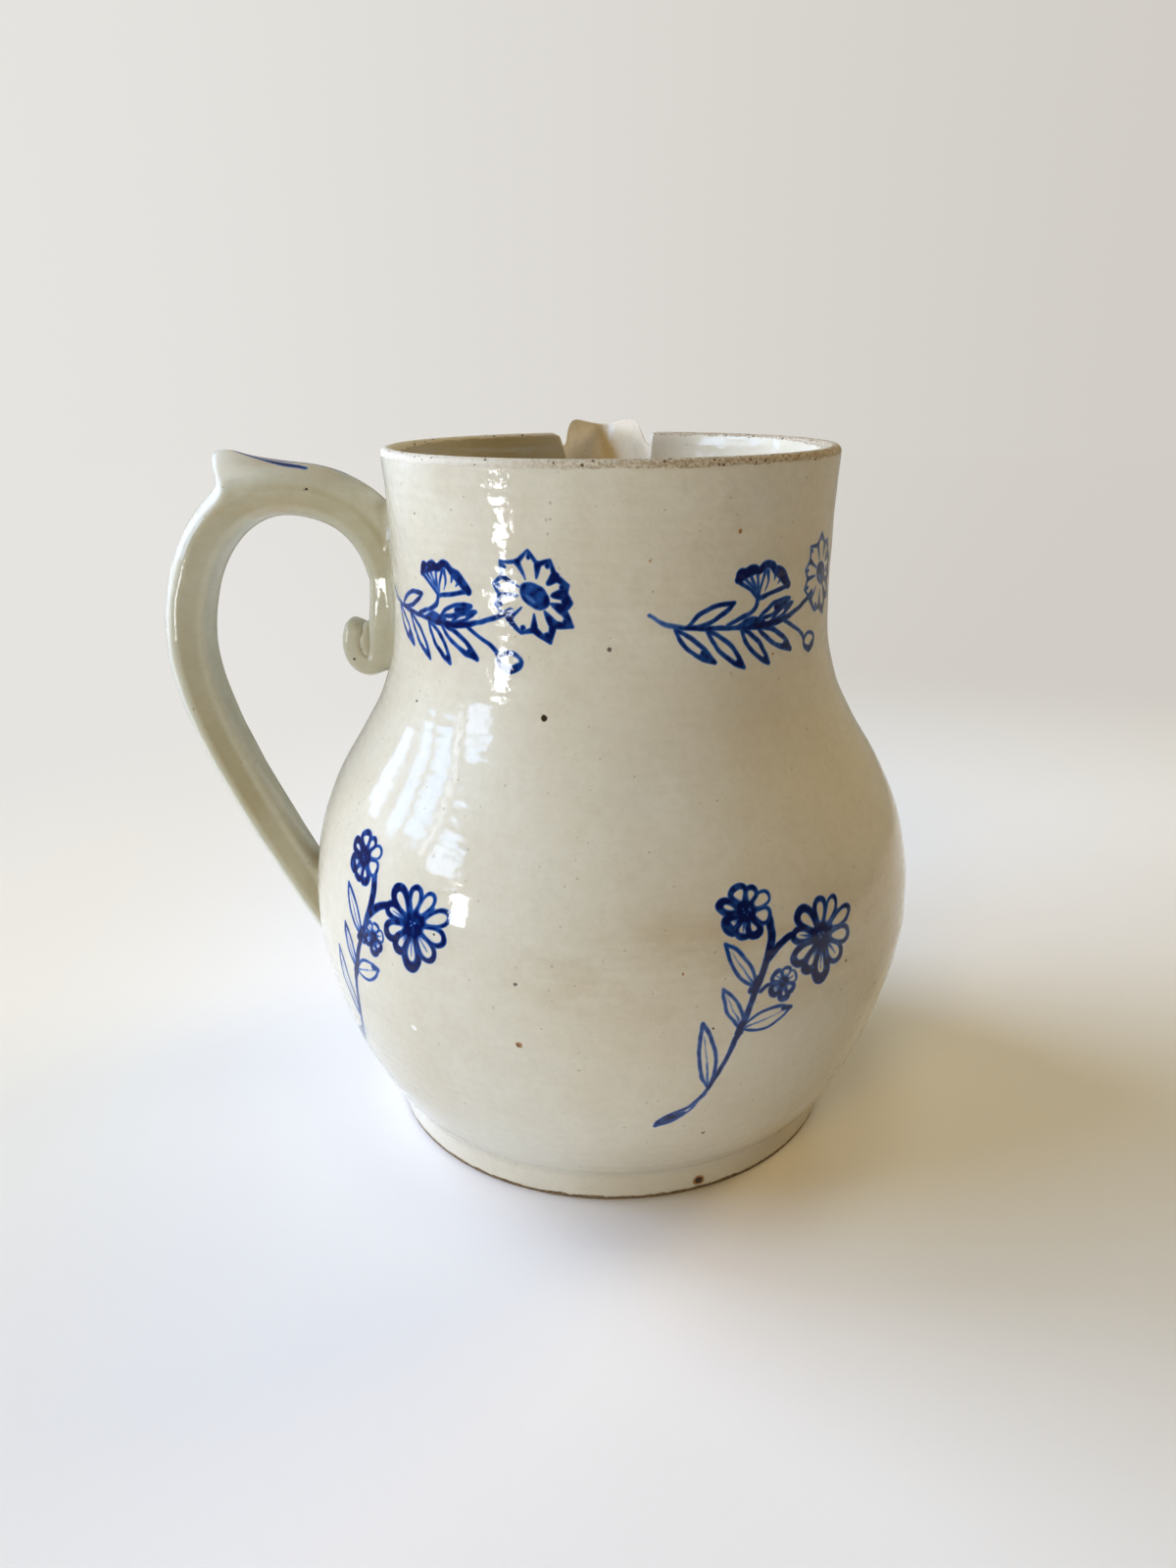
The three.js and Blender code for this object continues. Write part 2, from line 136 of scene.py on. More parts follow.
CURL_LINE = (
    (64.0, 132.2), (65.2, 129.4), (65.5, 126.0), (64.5, 122.8), (62.0, 120.9),
    (59.7, 121.5), (58.4, 124.2), (57.9, 127.8), (57.2, 131.8),
)
CURL_POWER = 3.4
CORE_CENTRE = (-62.0, 0.0, 126.2)
CORE_RADII = (2.5, 5.9, 5.1)
CORE_POWER = 2.6

MM = 0.001


# Curves and surfaces

def bezier(points, count):
    """Points on a Bezier curve: the sum of binomial(n, k) (1 - t)^(n - k) t^k times control point k."""
    t = np.linspace(0.0, 1.0, count)[:, None]
    n = len(points) - 1
    return sum(
        math.comb(n, k) * (1 - t) ** (n - k) * t ** k * np.asarray(p, float)
        for k, p in enumerate(points)
    )


def arc_lengths(path):
    """Distance along a polyline: the running sum of its steps' lengths."""
    steps = np.linalg.norm(np.diff(path, axis=0), axis=1)
    return np.concatenate([[0.0], np.cumsum(steps)])


def taken(values, along, lengths):
    """Rows of values that belong to distances along a line, read at other distances between them."""
    return np.stack([np.interp(lengths, along, column) for column in values.T], axis=1)


def at_lengths(path, lengths):
    """Points of a polyline at the given distances along it, by straight interpolation."""
    return taken(path, arc_lengths(path), lengths)


def unit(vectors):
    """Vectors divided by their own lengths."""
    return vectors / np.linalg.norm(vectors, axis=-1, keepdims=True)


def left_of(path):
    """Unit vectors to the left of a flat polyline: its direction turned by a quarter."""
    tangent = unit(np.gradient(path, axis=0))
    return np.stack([-tangent[:, 1], tangent[:, 0]], 1)


def turned(centre, angle, out, side=0.0):
    """Flat places from a centre: out along an angle, and to its left by the side distance."""
    c, s = math.cos(angle), math.sin(angle)
    return np.stack([centre[0] + out * c - side * s, centre[1] + out * s + side * c], -1)


def sampled(sheet, i, j):
    """Values of a grid between its points, by straight interpolation along rows and columns."""
    i0 = np.clip(i.astype(int), 0, sheet.shape[0] - 2)
    j0 = np.clip(j.astype(int), 0, sheet.shape[1] - 2)
    fi, fj = np.clip(i - i0, 0, 1), np.clip(j - j0, 0, 1)
    near = sheet[i0, j0] * (1 - fj) + sheet[i0, j0 + 1] * fj
    far = sheet[i0 + 1, j0] * (1 - fj) + sheet[i0 + 1, j0 + 1] * fj
    return near * (1 - fi) + far * fi


def even(path, step):
    """The polyline with a point every step, as near as whole steps allow."""
    total = arc_lengths(path)[-1]
    return at_lengths(path, np.linspace(0.0, total, max(2, round(total / step)) + 1))


def smoothed(values, width, closed=False):
    """Running mean weighted by exp(-d^2 / 2 width^2), d in samples; the ends are held or wrap."""
    reach = max(1, int(3 * width))
    weights = np.exp(-0.5 * (np.arange(-reach, reach + 1) / width) ** 2)
    weights /= weights.sum()
    values = np.asarray(values, float)
    flat = values.reshape(len(values), -1)
    mode = "wrap" if closed else "edge"
    padded = np.pad(flat, ((reach, reach), (0, 0)), mode=mode)
    columns = [np.convolve(padded[:, k], weights, "valid") for k in range(flat.shape[1])]
    return np.stack(columns, axis=1).reshape(values.shape)


def spline(points, count):
    """Catmull-Rom curve: each stretch is the cubic with slopes (next - previous) / 2 at its ends."""
    p = np.asarray(points, float)
    p = np.vstack([2 * p[0] - p[1], p, 2 * p[-1] - p[-2]])
    stretches = len(p) - 3
    t = np.linspace(0.0, stretches, count)
    i = np.minimum(t.astype(int), stretches - 1)
    f = (t - i)[:, None]
    a, b, c, d = p[i], p[i + 1], p[i + 2], p[i + 3]
    return 0.5 * (2 * b + (c - a) * f + (2 * a - 5 * b + 4 * c - d) * f ** 2
                  + (3 * b - a - 3 * c + d) * f ** 3)


def smoothstep(low, high, x):
    """0 below low, 1 above high, and t^2 (3 - 2 t) between."""
    t = np.clip((np.asarray(x, float) - low) / (high - low), 0.0, 1.0)
    return t * t * (3 - 2 * t)


def grid_quads(rows, columns, wrap_rows=False, wrap_columns=True):
    """Quads of a rows x columns grid of points, joined round where it wraps."""
    i = np.arange(rows if wrap_rows else rows - 1)
    j = np.arange(columns if wrap_columns else columns - 1)
    i, j = [a.ravel() for a in np.meshgrid(i, j, indexing="ij")]
    below, right = (i + 1) % rows, (j + 1) % columns
    return np.stack([i * columns + j, i * columns + right, below * columns + right, below * columns + j], 1)


def fan(centre, ring):
    """Triangles from a centre point to a closed ring of points."""
    return np.stack([np.full(len(ring), centre), ring, np.roll(ring, -1)], 1)


def volume(points, quads, triangles):
    """Signed volume of a closed skin: the sum of a . (b x c) / 6 over its triangles."""
    split = np.vstack([quads[:, [0, 1, 2]], quads[:, [0, 2, 3]], triangles])
    a, b, c = (points[split[:, k]] for k in range(3))
    return np.einsum("ij,ij->i", a, np.cross(b, c)).sum() / 6


def piece(name, points, quads, triangles=None, closed=True, rides=True, attributes=None):
    """A mesh object from points in millimetres. A closed skin is turned so that its faces point out."""
    triangles = np.zeros((0, 3), int) if triangles is None else triangles
    if closed and volume(points, quads, triangles) < 0:
        quads, triangles = quads[:, ::-1], triangles[:, ::-1]
    mesh = bpy.data.meshes.new(name)
    mesh.vertices.add(len(points))
    mesh.vertices.foreach_set("co", (points * MM).astype(np.float32).ravel())
    corners = np.concatenate([quads.ravel(), triangles.ravel()])
    sizes = np.concatenate([np.full(len(quads), 4), np.full(len(triangles), 3)])
    mesh.loops.add(len(corners))
    mesh.loops.foreach_set("vertex_index", corners.astype(np.int32))
    mesh.polygons.add(len(sizes))
    starts = np.concatenate([[0], np.cumsum(sizes)[:-1]])
    mesh.polygons.foreach_set("loop_start", starts.astype(np.int32))
    mesh.update(calc_edges=True)
    mesh.polygons.foreach_set("use_smooth", np.ones(len(sizes), bool))
    for key, values in (attributes or {}).items():
        layer = mesh.attributes.new(key, "FLOAT", "POINT")
        layer.data.foreach_set("value", np.asarray(values, np.float32).ravel())
    mesh.validate()
    mesh.update()
    thing = bpy.data.objects.new(name, mesh)
    bpy.context.scene.collection.objects.link(thing)
    if rides:
        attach(thing, "root")
    return thing


def tube(name, rows, first, last, attributes=None):
    """A closed piece of rings of points, one row for each, with a fan to a point at either end. The
    attributes have one value for each point of the rings and are 0 at the two ends."""
    count, columns = rows.shape[:2]
    points = np.vstack([rows.reshape(-1, 3), [first], [last]])
    ring = np.arange(columns)
    caps = np.vstack([fan(len(points) - 2, ring[::-1]), fan(len(points) - 1, (count - 1) * columns + ring)])
    attributes = {key: np.append(values, [0.0, 0.0]) for key, values in (attributes or {}).items()}
    return piece(name, points, grid_quads(count, columns), caps, attributes=attributes)


def wave(x, y, seed, scale, terms=7):
    """Smooth random unevenness from -1 to 1: a mean of sines of random directions and phases,
    with wavelengths near scale."""
    draw = np.random.default_rng(seed)
    total = 0.0
    for _ in range(terms):
        turn, phase = draw.uniform(0, 2 * np.pi, 2)
        rate = 2 * np.pi / (scale * draw.uniform(0.7, 1.6))
        total = total + np.sin(rate * (x * np.cos(turn) + y * np.sin(turn)) + phase)
    return total / terms * 1.4


# Vessel profile

WAIST_HEIGHT = RIM_HEIGHT - NECK_LENGTH
LIP_RADIUS = LIP_THICKNESS / 2
RIM_SIDE_HEIGHT = RIM_HEIGHT - LIP_RADIUS


def shoulder_and_neck(belly, waist, rim):
    """Radius and height from the belly to the side of the lip: a cubic curve that leaves the
    belly and arrives at the waist upright, then a quadratic one that leaves the waist upright."""
    rise = WAIST_HEIGHT - BELLY_HEIGHT
    shoulder = bezier([
        (belly, BELLY_HEIGHT),
        (belly, BELLY_HEIGHT + SHOULDER_FULLNESS * rise),
        (waist, WAIST_HEIGHT - NECK_FULLNESS * rise),
        (waist, WAIST_HEIGHT),
    ], 300)
    neck = bezier([
        (waist, WAIST_HEIGHT),
        (waist, (WAIST_HEIGHT + RIM_SIDE_HEIGHT) / 2),
        (rim, RIM_SIDE_HEIGHT),
    ], 120)
    return np.vstack([shoulder, neck[1:]])


def outer_profile():
    """Radius and height of the outside: the rounded foot edge, the foot band, the crease and
    the lower belly as a cubic curve, then the shoulder and the neck, softened a little."""
    foot_top = FOOT_RADIUS + FOOT_FLARE
    crease = np.array([foot_top + FOOT_CREASE_DEPTH, FOOT_BAND_HEIGHT + FOOT_CREASE_WIDTH])
    hold = LOWER_BELLY_FULLNESS * (BELLY_HEIGHT - crease[1])
    lean = math.radians(FOOT_CREASE_LEAN)
    turn = np.linspace(-0.5 * np.pi, 0.0, 8)
    centre = FOOT_RADIUS - FOOT_EDGE_ROUND
    edge = np.stack([centre + FOOT_EDGE_ROUND * np.cos(turn), FOOT_EDGE_ROUND * (1 + np.sin(turn))], 1)
    lower = bezier([
        crease,
        crease + hold * np.array([math.cos(lean), math.sin(lean)]),
        (BELLY_RADIUS, BELLY_HEIGHT - hold),
        (BELLY_RADIUS, BELLY_HEIGHT),
    ], 300)
    upper = shoulder_and_neck(BELLY_RADIUS, WAIST_RADIUS, RIM_RADIUS)
    path = even(np.vstack([edge, [[foot_top, FOOT_BAND_HEIGHT]], lower, upper[1:]]), 0.25)
    soft = smoothed(path, 4.0)
    keep = smoothstep(1.6, 3.2, path[:, 1])[:, None]
    soft = path * (1 - keep) + soft * keep
    hold_top = smoothstep(RIM_SIDE_HEIGHT - 6, RIM_SIDE_HEIGHT - 2, path[:, 1])[:, None]
    return soft * (1 - hold_top) + path * hold_top


def inner_profile():
    """Radius and height of the inside from the floor up: a bowl, then the outside's shoulder and
    neck moved in by the wall."""
    belly, waist = BELLY_RADIUS - BELLY_WALL, WAIST_RADIUS - NECK_WALL
    bowl = bezier([
        (FLOOR_RADIUS, FLOOR_THICKNESS),
        (FLOOR_RADIUS + FLOOR_FULLNESS * (belly - FLOOR_RADIUS), FLOOR_THICKNESS),
        (belly, (BELLY_HEIGHT + FLOOR_THICKNESS) / 2),
        (belly, BELLY_HEIGHT),
    ], 300)
    upper = shoulder_and_neck(belly, waist, RIM_RADIUS - LIP_THICKNESS)
    return even(np.vstack([bowl, upper[1:]]), 0.5)


OUTER = outer_profile()
INNER = inner_profile()


def outer_radius(height):
    """Outside radius of the vessel at a height."""
    return np.interp(height, OUTER[:, 1], OUTER[:, 0])


def inner_radius(height):
    """Inside radius of the vessel at a height."""
    return np.interp(height, INNER[:, 1], INNER[:, 0])


def around(radius, angle, height):
    """Points at a radius, at an angle clockwise from the spout as seen from above."""
    heading = np.pi / 2 + math.radians(SPOUT_TURN) - angle
    return np.stack(np.broadcast_arrays(radius * np.cos(heading), radius * np.sin(heading), height), -1)


def outer_uneven(angle, height):
    """Up to 0.6 mm of hand-thrown unevenness, inwards only, gone at the foot and the rim: slow waves
    and the rings WALL_RING_DEPTH (1 + sin(height / 2.1 + ...)) that wander with the angle."""
    slow = WALL_UNEVEN * (1 + wave(np.cos(angle) * 60, np.sin(angle) * 60 + height, 11, 70))
    rings = WALL_RING_DEPTH * (1 + np.sin(height / 2.1 + 2.2 * np.sin(angle) + 0.9 * np.sin(height / 9.0)))
    return (slow + rings) * smoothstep(4.0, 20.0, height) * (1 - smoothstep(165.0, 173.0, height))


def inner_uneven(angle, height):
    """Spiral throwing rings inside, 0.3 mm deep and about 6 mm apart."""
    return -INSIDE_RING_DEPTH * (1 + np.sin(height * 1.05 + angle + 0.8 * np.sin(height / 11.0)))


# Vessel: the rim's edge runs round the neck and down and up the cut for the spout

def notch_side(share):
    """Left and right edge of the cut, at a share of its height: half the width times share^curve,
    leaning to one side near the top."""
    drop = NOTCH_DEPTH * (1 - share)
    tilt = NOTCH_TILT * drop * np.exp(-drop / NOTCH_TILT_FADE)
    left = -NOTCH_WIDTH / 2 * share ** NOTCH_LEFT_CURVE + tilt
    right = NOTCH_WIDTH / 2 * share ** NOTCH_RIGHT_CURVE + tilt
    return left, right


def rim_edge(columns):
    """Angle, height and upward or sideways facing of the edge's centre line, with its inset.
    The edge is a polyline in the developed neck, rounded at its corners by a running mean."""
    share = np.linspace(0.0, 1.0, 400) ** 2
    left, right = notch_side(share)
    height = RIM_HEIGHT - NOTCH_DEPTH * (1 - share)
    cut = np.vstack([
        np.stack([left[::-1], height[::-1]], 1),
        np.stack([right[1:], height[1:]], 1),
    ])
    half_round = math.pi * RIM_RADIUS
    path = np.vstack([[[-half_round, RIM_HEIGHT]], cut, [[half_round, RIM_HEIGHT]]])
    path = even(path, 0.1)
    middle = smoothed(path, 8.0)
    far = smoothstep(40.0, 60.0, np.abs(path[:, 0]))[:, None]
    path = middle * (1 - far) + path * far
    facing = left_of(path)
    path = path - LIP_RADIUS * facing
    lengths = arc_lengths(path)
    pick = np.linspace(0.0, lengths[-1], columns + 1)[:-1]
    path, facing = taken(path, lengths, pick), unit(taken(facing, lengths, pick))
    return path[:, 0] / RIM_RADIUS, path[:, 1], facing


def vessel():
    """Outside, lip, inside and floor as one closed grid. Above the split height the columns lean
    from even angles to the angles of the rim's edge."""
    columns = VESSEL_COLUMNS
    edge_angle, edge_height, facing = rim_edge(columns)
    even_angle = -np.pi + 2 * np.pi * np.arange(columns) / columns

    def wall(profile, radius_at, low, high, upper_rows, uneven):
        """One face of the wall: rows of the profile up to the split, then rows that rise to the edge."""
        below = profile[profile[:, 1] < SPLIT_HEIGHT]
        fine = at_lengths(below, np.concatenate([
            np.linspace(0.0, low, 14)[:-1],
            np.linspace(low, arc_lengths(below)[-1], high),
        ]))
        rows = [around(r - uneven(even_angle, z), even_angle, np.full(columns, z)) for r, z in fine]
        for share in np.linspace(0.0, 1.0, upper_rows)[1:]:
            height = SPLIT_HEIGHT + share * (edge_height - SPLIT_HEIGHT)
            angle = even_angle + share * (edge_angle - even_angle)
            rows.append(around(radius_at(height) - uneven(angle, height) * (1 - share ** 8), angle, height))
        return rows

    outside = wall(OUTER, outer_radius, 9.0, 98, 38, outer_uneven)
    inside = wall(INNER, inner_radius, 6.0, 64, 26, inner_uneven)[::-1]

    half = (outer_radius(edge_height) - inner_radius(edge_height)) / 2
    centre = (outer_radius(edge_height) + inner_radius(edge_height)) / 2
    cut = 1 - facing[:, 1]
    lip = []
    for turn in np.linspace(0.0, np.pi, 13)[1:-1]:
        square = 1 - LIP_SQUARENESS * np.clip(cut, 0, 1)
        across = np.sign(np.cos(turn)) * np.abs(np.cos(turn)) ** square
        out = LIP_RADIUS * np.abs(np.sin(turn)) ** square
        angle = edge_angle + out * facing[:, 0] / RIM_RADIUS
        lip.append(around(centre + half * across, angle, edge_height + out * facing[:, 1]))

    base = [around(r, even_angle, np.full(columns, z)) for r, z in BASE_RINGS]
    floor = [around(r, even_angle, np.full(columns, FLOOR_THICKNESS + 0.25 * math.cos(r / 3.1) - 0.25))
             for r in np.linspace(42.0, 4.0, 12)]
    rows = np.array(base + outside + lip + inside + floor)
    return tube("stoneware_vessel", rows, (0, 0, BASE_HOLLOW), (0, 0, FLOOR_THICKNESS))


# Spout: a folded beak of thin clay with a waved edge

def spout():
    """For each place across the beak, a loop up the outside, over the rounded edge and down the
    inside. Across, a runs from -1 to 1: the side is half |a|^sharpness and the reach ahead of the
    neck is 1 - a^2. Both shrink towards the keel's root."""
    edge = spline([
        (RIM_RADIUS - LIP_THICKNESS, RIM_HEIGHT - SPOUT_ROOT_DROP),
        (RIM_RADIUS + 0.3 * SPOUT_CREST_AHEAD, RIM_HEIGHT - 0.7 * SPOUT_ROOT_DROP),
        (RIM_RADIUS + SPOUT_CREST_AHEAD, RIM_HEIGHT + SPOUT_CREST_RISE),
        (RIM_RADIUS + SPOUT_REACH + SPOUT_WALL, RIM_HEIGHT + SPOUT_TIP_RISE),
    ], 80)
    across = np.linspace(-1.0, 1.0, 141)
    across = np.sign(across) * np.abs(across) ** 1.15

    def skin(height, root, reach, extra, sharpness, flare):
        """Points of one face at the given heights, one column for each place across."""
        grow = np.maximum(0.004, (height - root) / (RIM_HEIGHT - root))
        share = np.minimum(1.0, grow)
        left, right = notch_side(share)
        half = np.where(across < 0, -left, right) + extra * grow ** 0.5
        side = np.sign(across) * half * np.abs(across) ** sharpness
        ahead = reach * grow * (1 + SPOUT_KEEL_BULGE * np.maximum(0, 1 - grow)) * (1 - across ** 2)
        side = side + np.sign(across) * flare * np.exp(-ahead / 1.6) * np.minimum(1, 3 * grow)
        wall = outer_radius(np.minimum(height, RIM_SIDE_HEIGHT))
        start = np.sqrt(wall ** 2 - side ** 2)
        sink = 1.2 * np.exp(-ahead / 0.8)
        return np.stack([side, start + ahead - sink, height], -1)

    def face(*shape):
        """The face with this shape: a function from shares of its height to its points. The waved
        edge's height comes from repeating edge(ahead(height))."""
        height = np.full(len(across), RIM_HEIGHT)
        for _ in range(12):
            height = np.interp(skin(height, *shape)[:, 1], edge[:, 0], edge[:, 1])
        top = height - SPOUT_EDGE_ROUND
        return lambda share: skin(shape[0] + share * (top - shape[0]), *shape)

    outer = face(RIM_HEIGHT - SPOUT_DEPTH, SPOUT_REACH + SPOUT_WALL, SPOUT_WALL, SPOUT_BEAK_SHARPNESS, SPOUT_FLARE)
    inner = face(RIM_HEIGHT - NOTCH_DEPTH, SPOUT_REACH, 0.0, SPOUT_CHANNEL_SHARPNESS, 0.0)
    loops = [outer(share) for share in np.linspace(0.0, 1.0, 44) ** 0.8]
    for turn in np.linspace(0.0, np.pi, 9)[1:-1]:
        mix = (1 - math.cos(turn)) / 2
        rise = SPOUT_EDGE_ROUND * math.sin(turn)
        loops.append(outer(1.0) * (1 - mix) + inner(1.0) * mix + [0, 0, rise])
    loops += [inner(share) for share in (1 - np.linspace(0.0, 1.0, 40)) ** 0.8]
    rows = np.array(loops)
    flat = turned((0, 0), math.radians(SPOUT_TURN), rows[..., 0], rows[..., 1])
    rows = np.concatenate([flat, rows[..., 2:]], -1)
    count, places = rows.shape[:2]
    quads = grid_quads(count, places, wrap_rows=True, wrap_columns=False)
    points = rows.reshape(-1, 3)
    ends = []
    for j in (0, places - 1):
        ring = np.arange(count) * places + j
        points = np.vstack([points, points[ring].mean(0)])
        ends.append(fan(len(points) - 1, ring if j == 0 else ring[::-1]))
    return piece("beak_spout", points, quads, np.vstack(ends))


# Handle: a strap swept along its middle line, from the curled scroll to the pinched tail

def strap_line():
    """Middle line of the strap as distance from the axis and height, with thickness, outer width
    and inner width: the curl, the stretch on the neck, the arch, the grip and the landing."""
    root = RIM_HEIGHT - SCROLL_DROP
    bend = np.array([WAIST_RADIUS - STRAP_ROOT_SINK, root + STRAP_ROOT_LENGTH])
    crest = np.array([WAIST_RADIUS + CREST_OFFSET, RIM_HEIGHT - CREST_DROP])
    grip = np.array([WAIST_RADIUS + GRIP_REACH, RIM_HEIGHT - GRIP_DROP])
    landing_height = BELLY_HEIGHT - LANDING_DROP
    landing = np.array([float(outer_radius(landing_height)) - LANDING_SINK, landing_height])
    lean, tail_lean = math.radians(LANDING_LEAN), math.radians(TAIL_LEAN)
    fall = grip[1] - landing[1]
    arrive = LANDING_FULLNESS * fall * np.array([math.sin(lean), math.cos(lean)])
    tail = landing - TAIL_LENGTH * np.array([math.sin(tail_lean), math.cos(tail_lean)])

    curl = spline(CURL_LINE, 160)
    arch = bezier([
        bend,
        (bend[0], bend[1] + 0.7 * (crest[1] - bend[1])),
        ((crest[0] + bend[0]) / 2, crest[1]),
        crest,
    ], 200)
    rise = bezier([
        crest,
        (crest[0] + CREST_FULLNESS * (grip[0] - crest[0]), crest[1]),
        (grip[0], crest[1] - GRIP_RISE_FULLNESS * (crest[1] - grip[1])),
        grip,
    ], 200)
    drop = bezier([grip, (grip[0], grip[1] - GRIP_FALL_FULLNESS * fall), landing + arrive, landing], 200)
    arch = arch[arch[:, 1] > bend[1] + 5.0]
    line = np.vstack([curl, arch, rise[1:], drop[1:], tail[None]])
    marks = arc_lengths(line)
    at = {
        "curl": marks[len(curl) - 1],
        "arch": marks[len(curl)],
        "crest": marks[len(curl) + len(arch) - 1],
        "grip": marks[len(curl) + len(arch) + len(rise) - 2],
        "landing": marks[-2],
        "tail": marks[-1],
    }
    along = np.linspace(0.0, marks[-1], STRAP_STATIONS)
    line = smoothed(at_lengths(line, along), 4.0)
    stops = [0.0, 0.35 * at["curl"], 0.6 * at["curl"], at["curl"], at["arch"], at["grip"],
             at["landing"] - TAIL_LENGTH / 2, at["tail"]]
    thickness = np.interp(along, stops, [
        5.6, 6.0, 6.4, 7.9, STRAP_ROOT_THICKNESS, STRAP_GRIP_THICKNESS, STRAP_END_THICKNESS, TAIL_THICKNESS])
    width = np.interp(along, stops, [
        12.0, 12.8, 13.2, 14.4, STRAP_WIDTH - 1.2, STRAP_WIDTH, STRAP_WIDTH - 0.6, TAIL_WIDTH - 2])
    inner = np.interp(along, stops, [
        11.5, 12.2, 12.4, 12.6, STRAP_INNER_WIDTH, STRAP_INNER_WIDTH, STRAP_INNER_WIDTH, 0.6 * TAIL_WIDTH])
    return line, along, at, smoothed(thickness, 9.0), smoothed(width, 9.0), smoothed(inner, 9.0)


def strap_section(count):
    """The section as shares: outward in half thicknesses, and the share of the outer and of the
    inner half width. A crowned outer face, a side sloping in, and a rounded inner face."""
    crown = np.linspace(0.0, 0.5 * np.pi, 40)
    ridge = np.linspace(0.0, 0.5 * np.pi, 30)
    half = np.vstack([
        np.stack([0.1 + 0.9 * np.cos(crown), np.sin(crown), 0 * crown], 1),
        np.stack([-0.64 - 0.36 * np.sin(ridge), 0 * ridge, np.cos(ridge)], 1),
    ])
    back = half[::-1][1:-1] * [1, -1, -1]
    loop = np.vstack([half, back, half[:1]])
    scale = [6.0, 8.7, 6.0]
    along = arc_lengths(loop * scale)
    pick = np.linspace(0.0, along[-1], count * 4 + 1)[:-1]
    return smoothed(taken(loop, along, pick), 3.2, closed=True)[::4]


def handle():
    """Sweeps the section along the middle line. The spur lifts the outer face by a peak with hollow
    sides, (1 - |d| / reach)^hollow, leaning out, with a knob pushed out by exp(-d^2). The ends are
    rounded, and skin near the vessel flares by f (1 - sqrt(1 - (1 - d / f)^2)) at d from it. The
    curl's section is a rounded block, |x|^p + |y|^p = 1 with p the CURL_POWER, and goes over into
    the strap's."""
    line, along, at, thickness, width, inner = strap_line()
    outward = left_of(line)
    section = strap_section(STRAP_SECTION_POINTS)

    step = along[1] - along[0]
    past = along - at["crest"] - SPUR_ALONG
    reach = np.where(past < 0, SPUR_SLOPE_LENGTH, SPUR_BACK_LENGTH)
    lift = SPUR_HEIGHT * smoothed(np.maximum(0, 1 - np.abs(past) / reach) ** SPUR_HOLLOW, 1.5 / step)
    knob = SPUR_KNOB_OUT * np.exp(-(past / SPUR_KNOB_LENGTH) ** 2)

    near_tip = np.clip(along / STRAP_TIP_ROUND, 0, 1)
    near_tail = np.clip((along[-1] - along) / STRAP_TAIL_ROUND, 0, 1)
    close = np.sqrt(1 - (1 - near_tip) ** 2) * np.sqrt(1 - (1 - near_tail) ** 2)
    close = np.maximum(close, 0.02)

    turn = np.arctan2(section[:, 1] + 0.8 * section[:, 2], section[:, 0])
    block = (np.abs(np.cos(turn)) ** CURL_POWER + np.abs(np.sin(turn)) ** CURL_POWER) ** (-1 / CURL_POWER)
    square = (1 - smoothstep(0.75 * at["curl"], at["arch"] + 3.0, along))[:, None]
    out = section[None, :, 0] * (1 - square) + (block * np.cos(turn))[None] * square
    wide, narrow = (width * close / 2)[:, None], (inner * close / 2)[:, None]
    across = section[None, :, 1] * wide + section[None, :, 2] * narrow
    across = across * (1 - square) + (block * np.sin(turn))[None] * wide * square
    out = out * (thickness * close / 2)[:, None]
    crown = np.maximum(0, section[None, :, 0])
    raised = lift[:, None] * crown ** 1.3
    across = across * (1 - 0.55 * crown * lift[:, None] / SPUR_HEIGHT)
    distance = line[:, 0:1] + outward[:, 0:1] * out + raised * math.tan(math.radians(SPUR_LEAN))
    distance = distance + knob[:, None] * crown ** 1.3
    height = line[:, 1:2] + outward[:, 1:2] * out + raised
    points = np.stack([-distance, across, height], -1)

    away = unit(points - points.mean(1, keepdims=True))
    clear = np.hypot(points[..., 0], points[..., 1]) - outer_radius(points[..., 2])
    u = np.clip(1 - clear / STRAP_FLARE, 0.0, 1.0)
    grow = STRAP_FLARE * (1 - np.sqrt(1 - np.minimum(u, 0.999) ** 2)) * smoothstep(0.0, 14.0, along)[:, None]
    points = points + away * grow[..., None]

    uneven = STRAP_UNEVEN * (1 + wave(points[..., 2] + points[..., 1], points[..., 0], 5, 14))
    points = points - away * uneven[..., None]
    chip = np.linalg.norm(points - CHIP_PLACE, axis=2)
    points = points - away * (CHIP_DEPTH * (1 - smoothstep(0.3, 1.9, chip)))[..., None]

    # Where the strap is sunk into the wall, it ends STRAP_DEPTH under the vessel's skin
    radial = np.hypot(points[..., 0], points[..., 1])
    push = np.maximum(1.0, (outer_radius(points[..., 2]) - STRAP_DEPTH) / radial)
    points = points * np.stack([push, push, np.ones_like(push)], -1)

    # Where the glaze is blue; olive on the flanks, thin glaze with painted shade on the sides turned away from the
    # window; and white on the crown, a painted highlight
    facing = section[:, 0]
    ink = strap_marks(along[:, None] - at["crest"], points[..., 1]) * (facing > 0.05)
    # The olive flanks are thin glaze together with painted shade
    shaded_flank = smoothstep(0.45, 0.2, facing) * smoothstep(-0.62, -0.42, facing)
    thin = shaded_flank * smoothstep(at["curl"], at["arch"] + 6.0, along)[:, None]
    # The white on the crown is a painted highlight
    crown_highlight = smoothstep(0.4, 0.6, facing) * smoothstep(at["crest"] + 2.0, at["crest"] + 12.0, along)[:, None]
    return tube("strap_handle", points, points[0].mean(0), points[-1].mean(0),
                {"ink": ink, "thin": thin, "crown": crown_highlight})


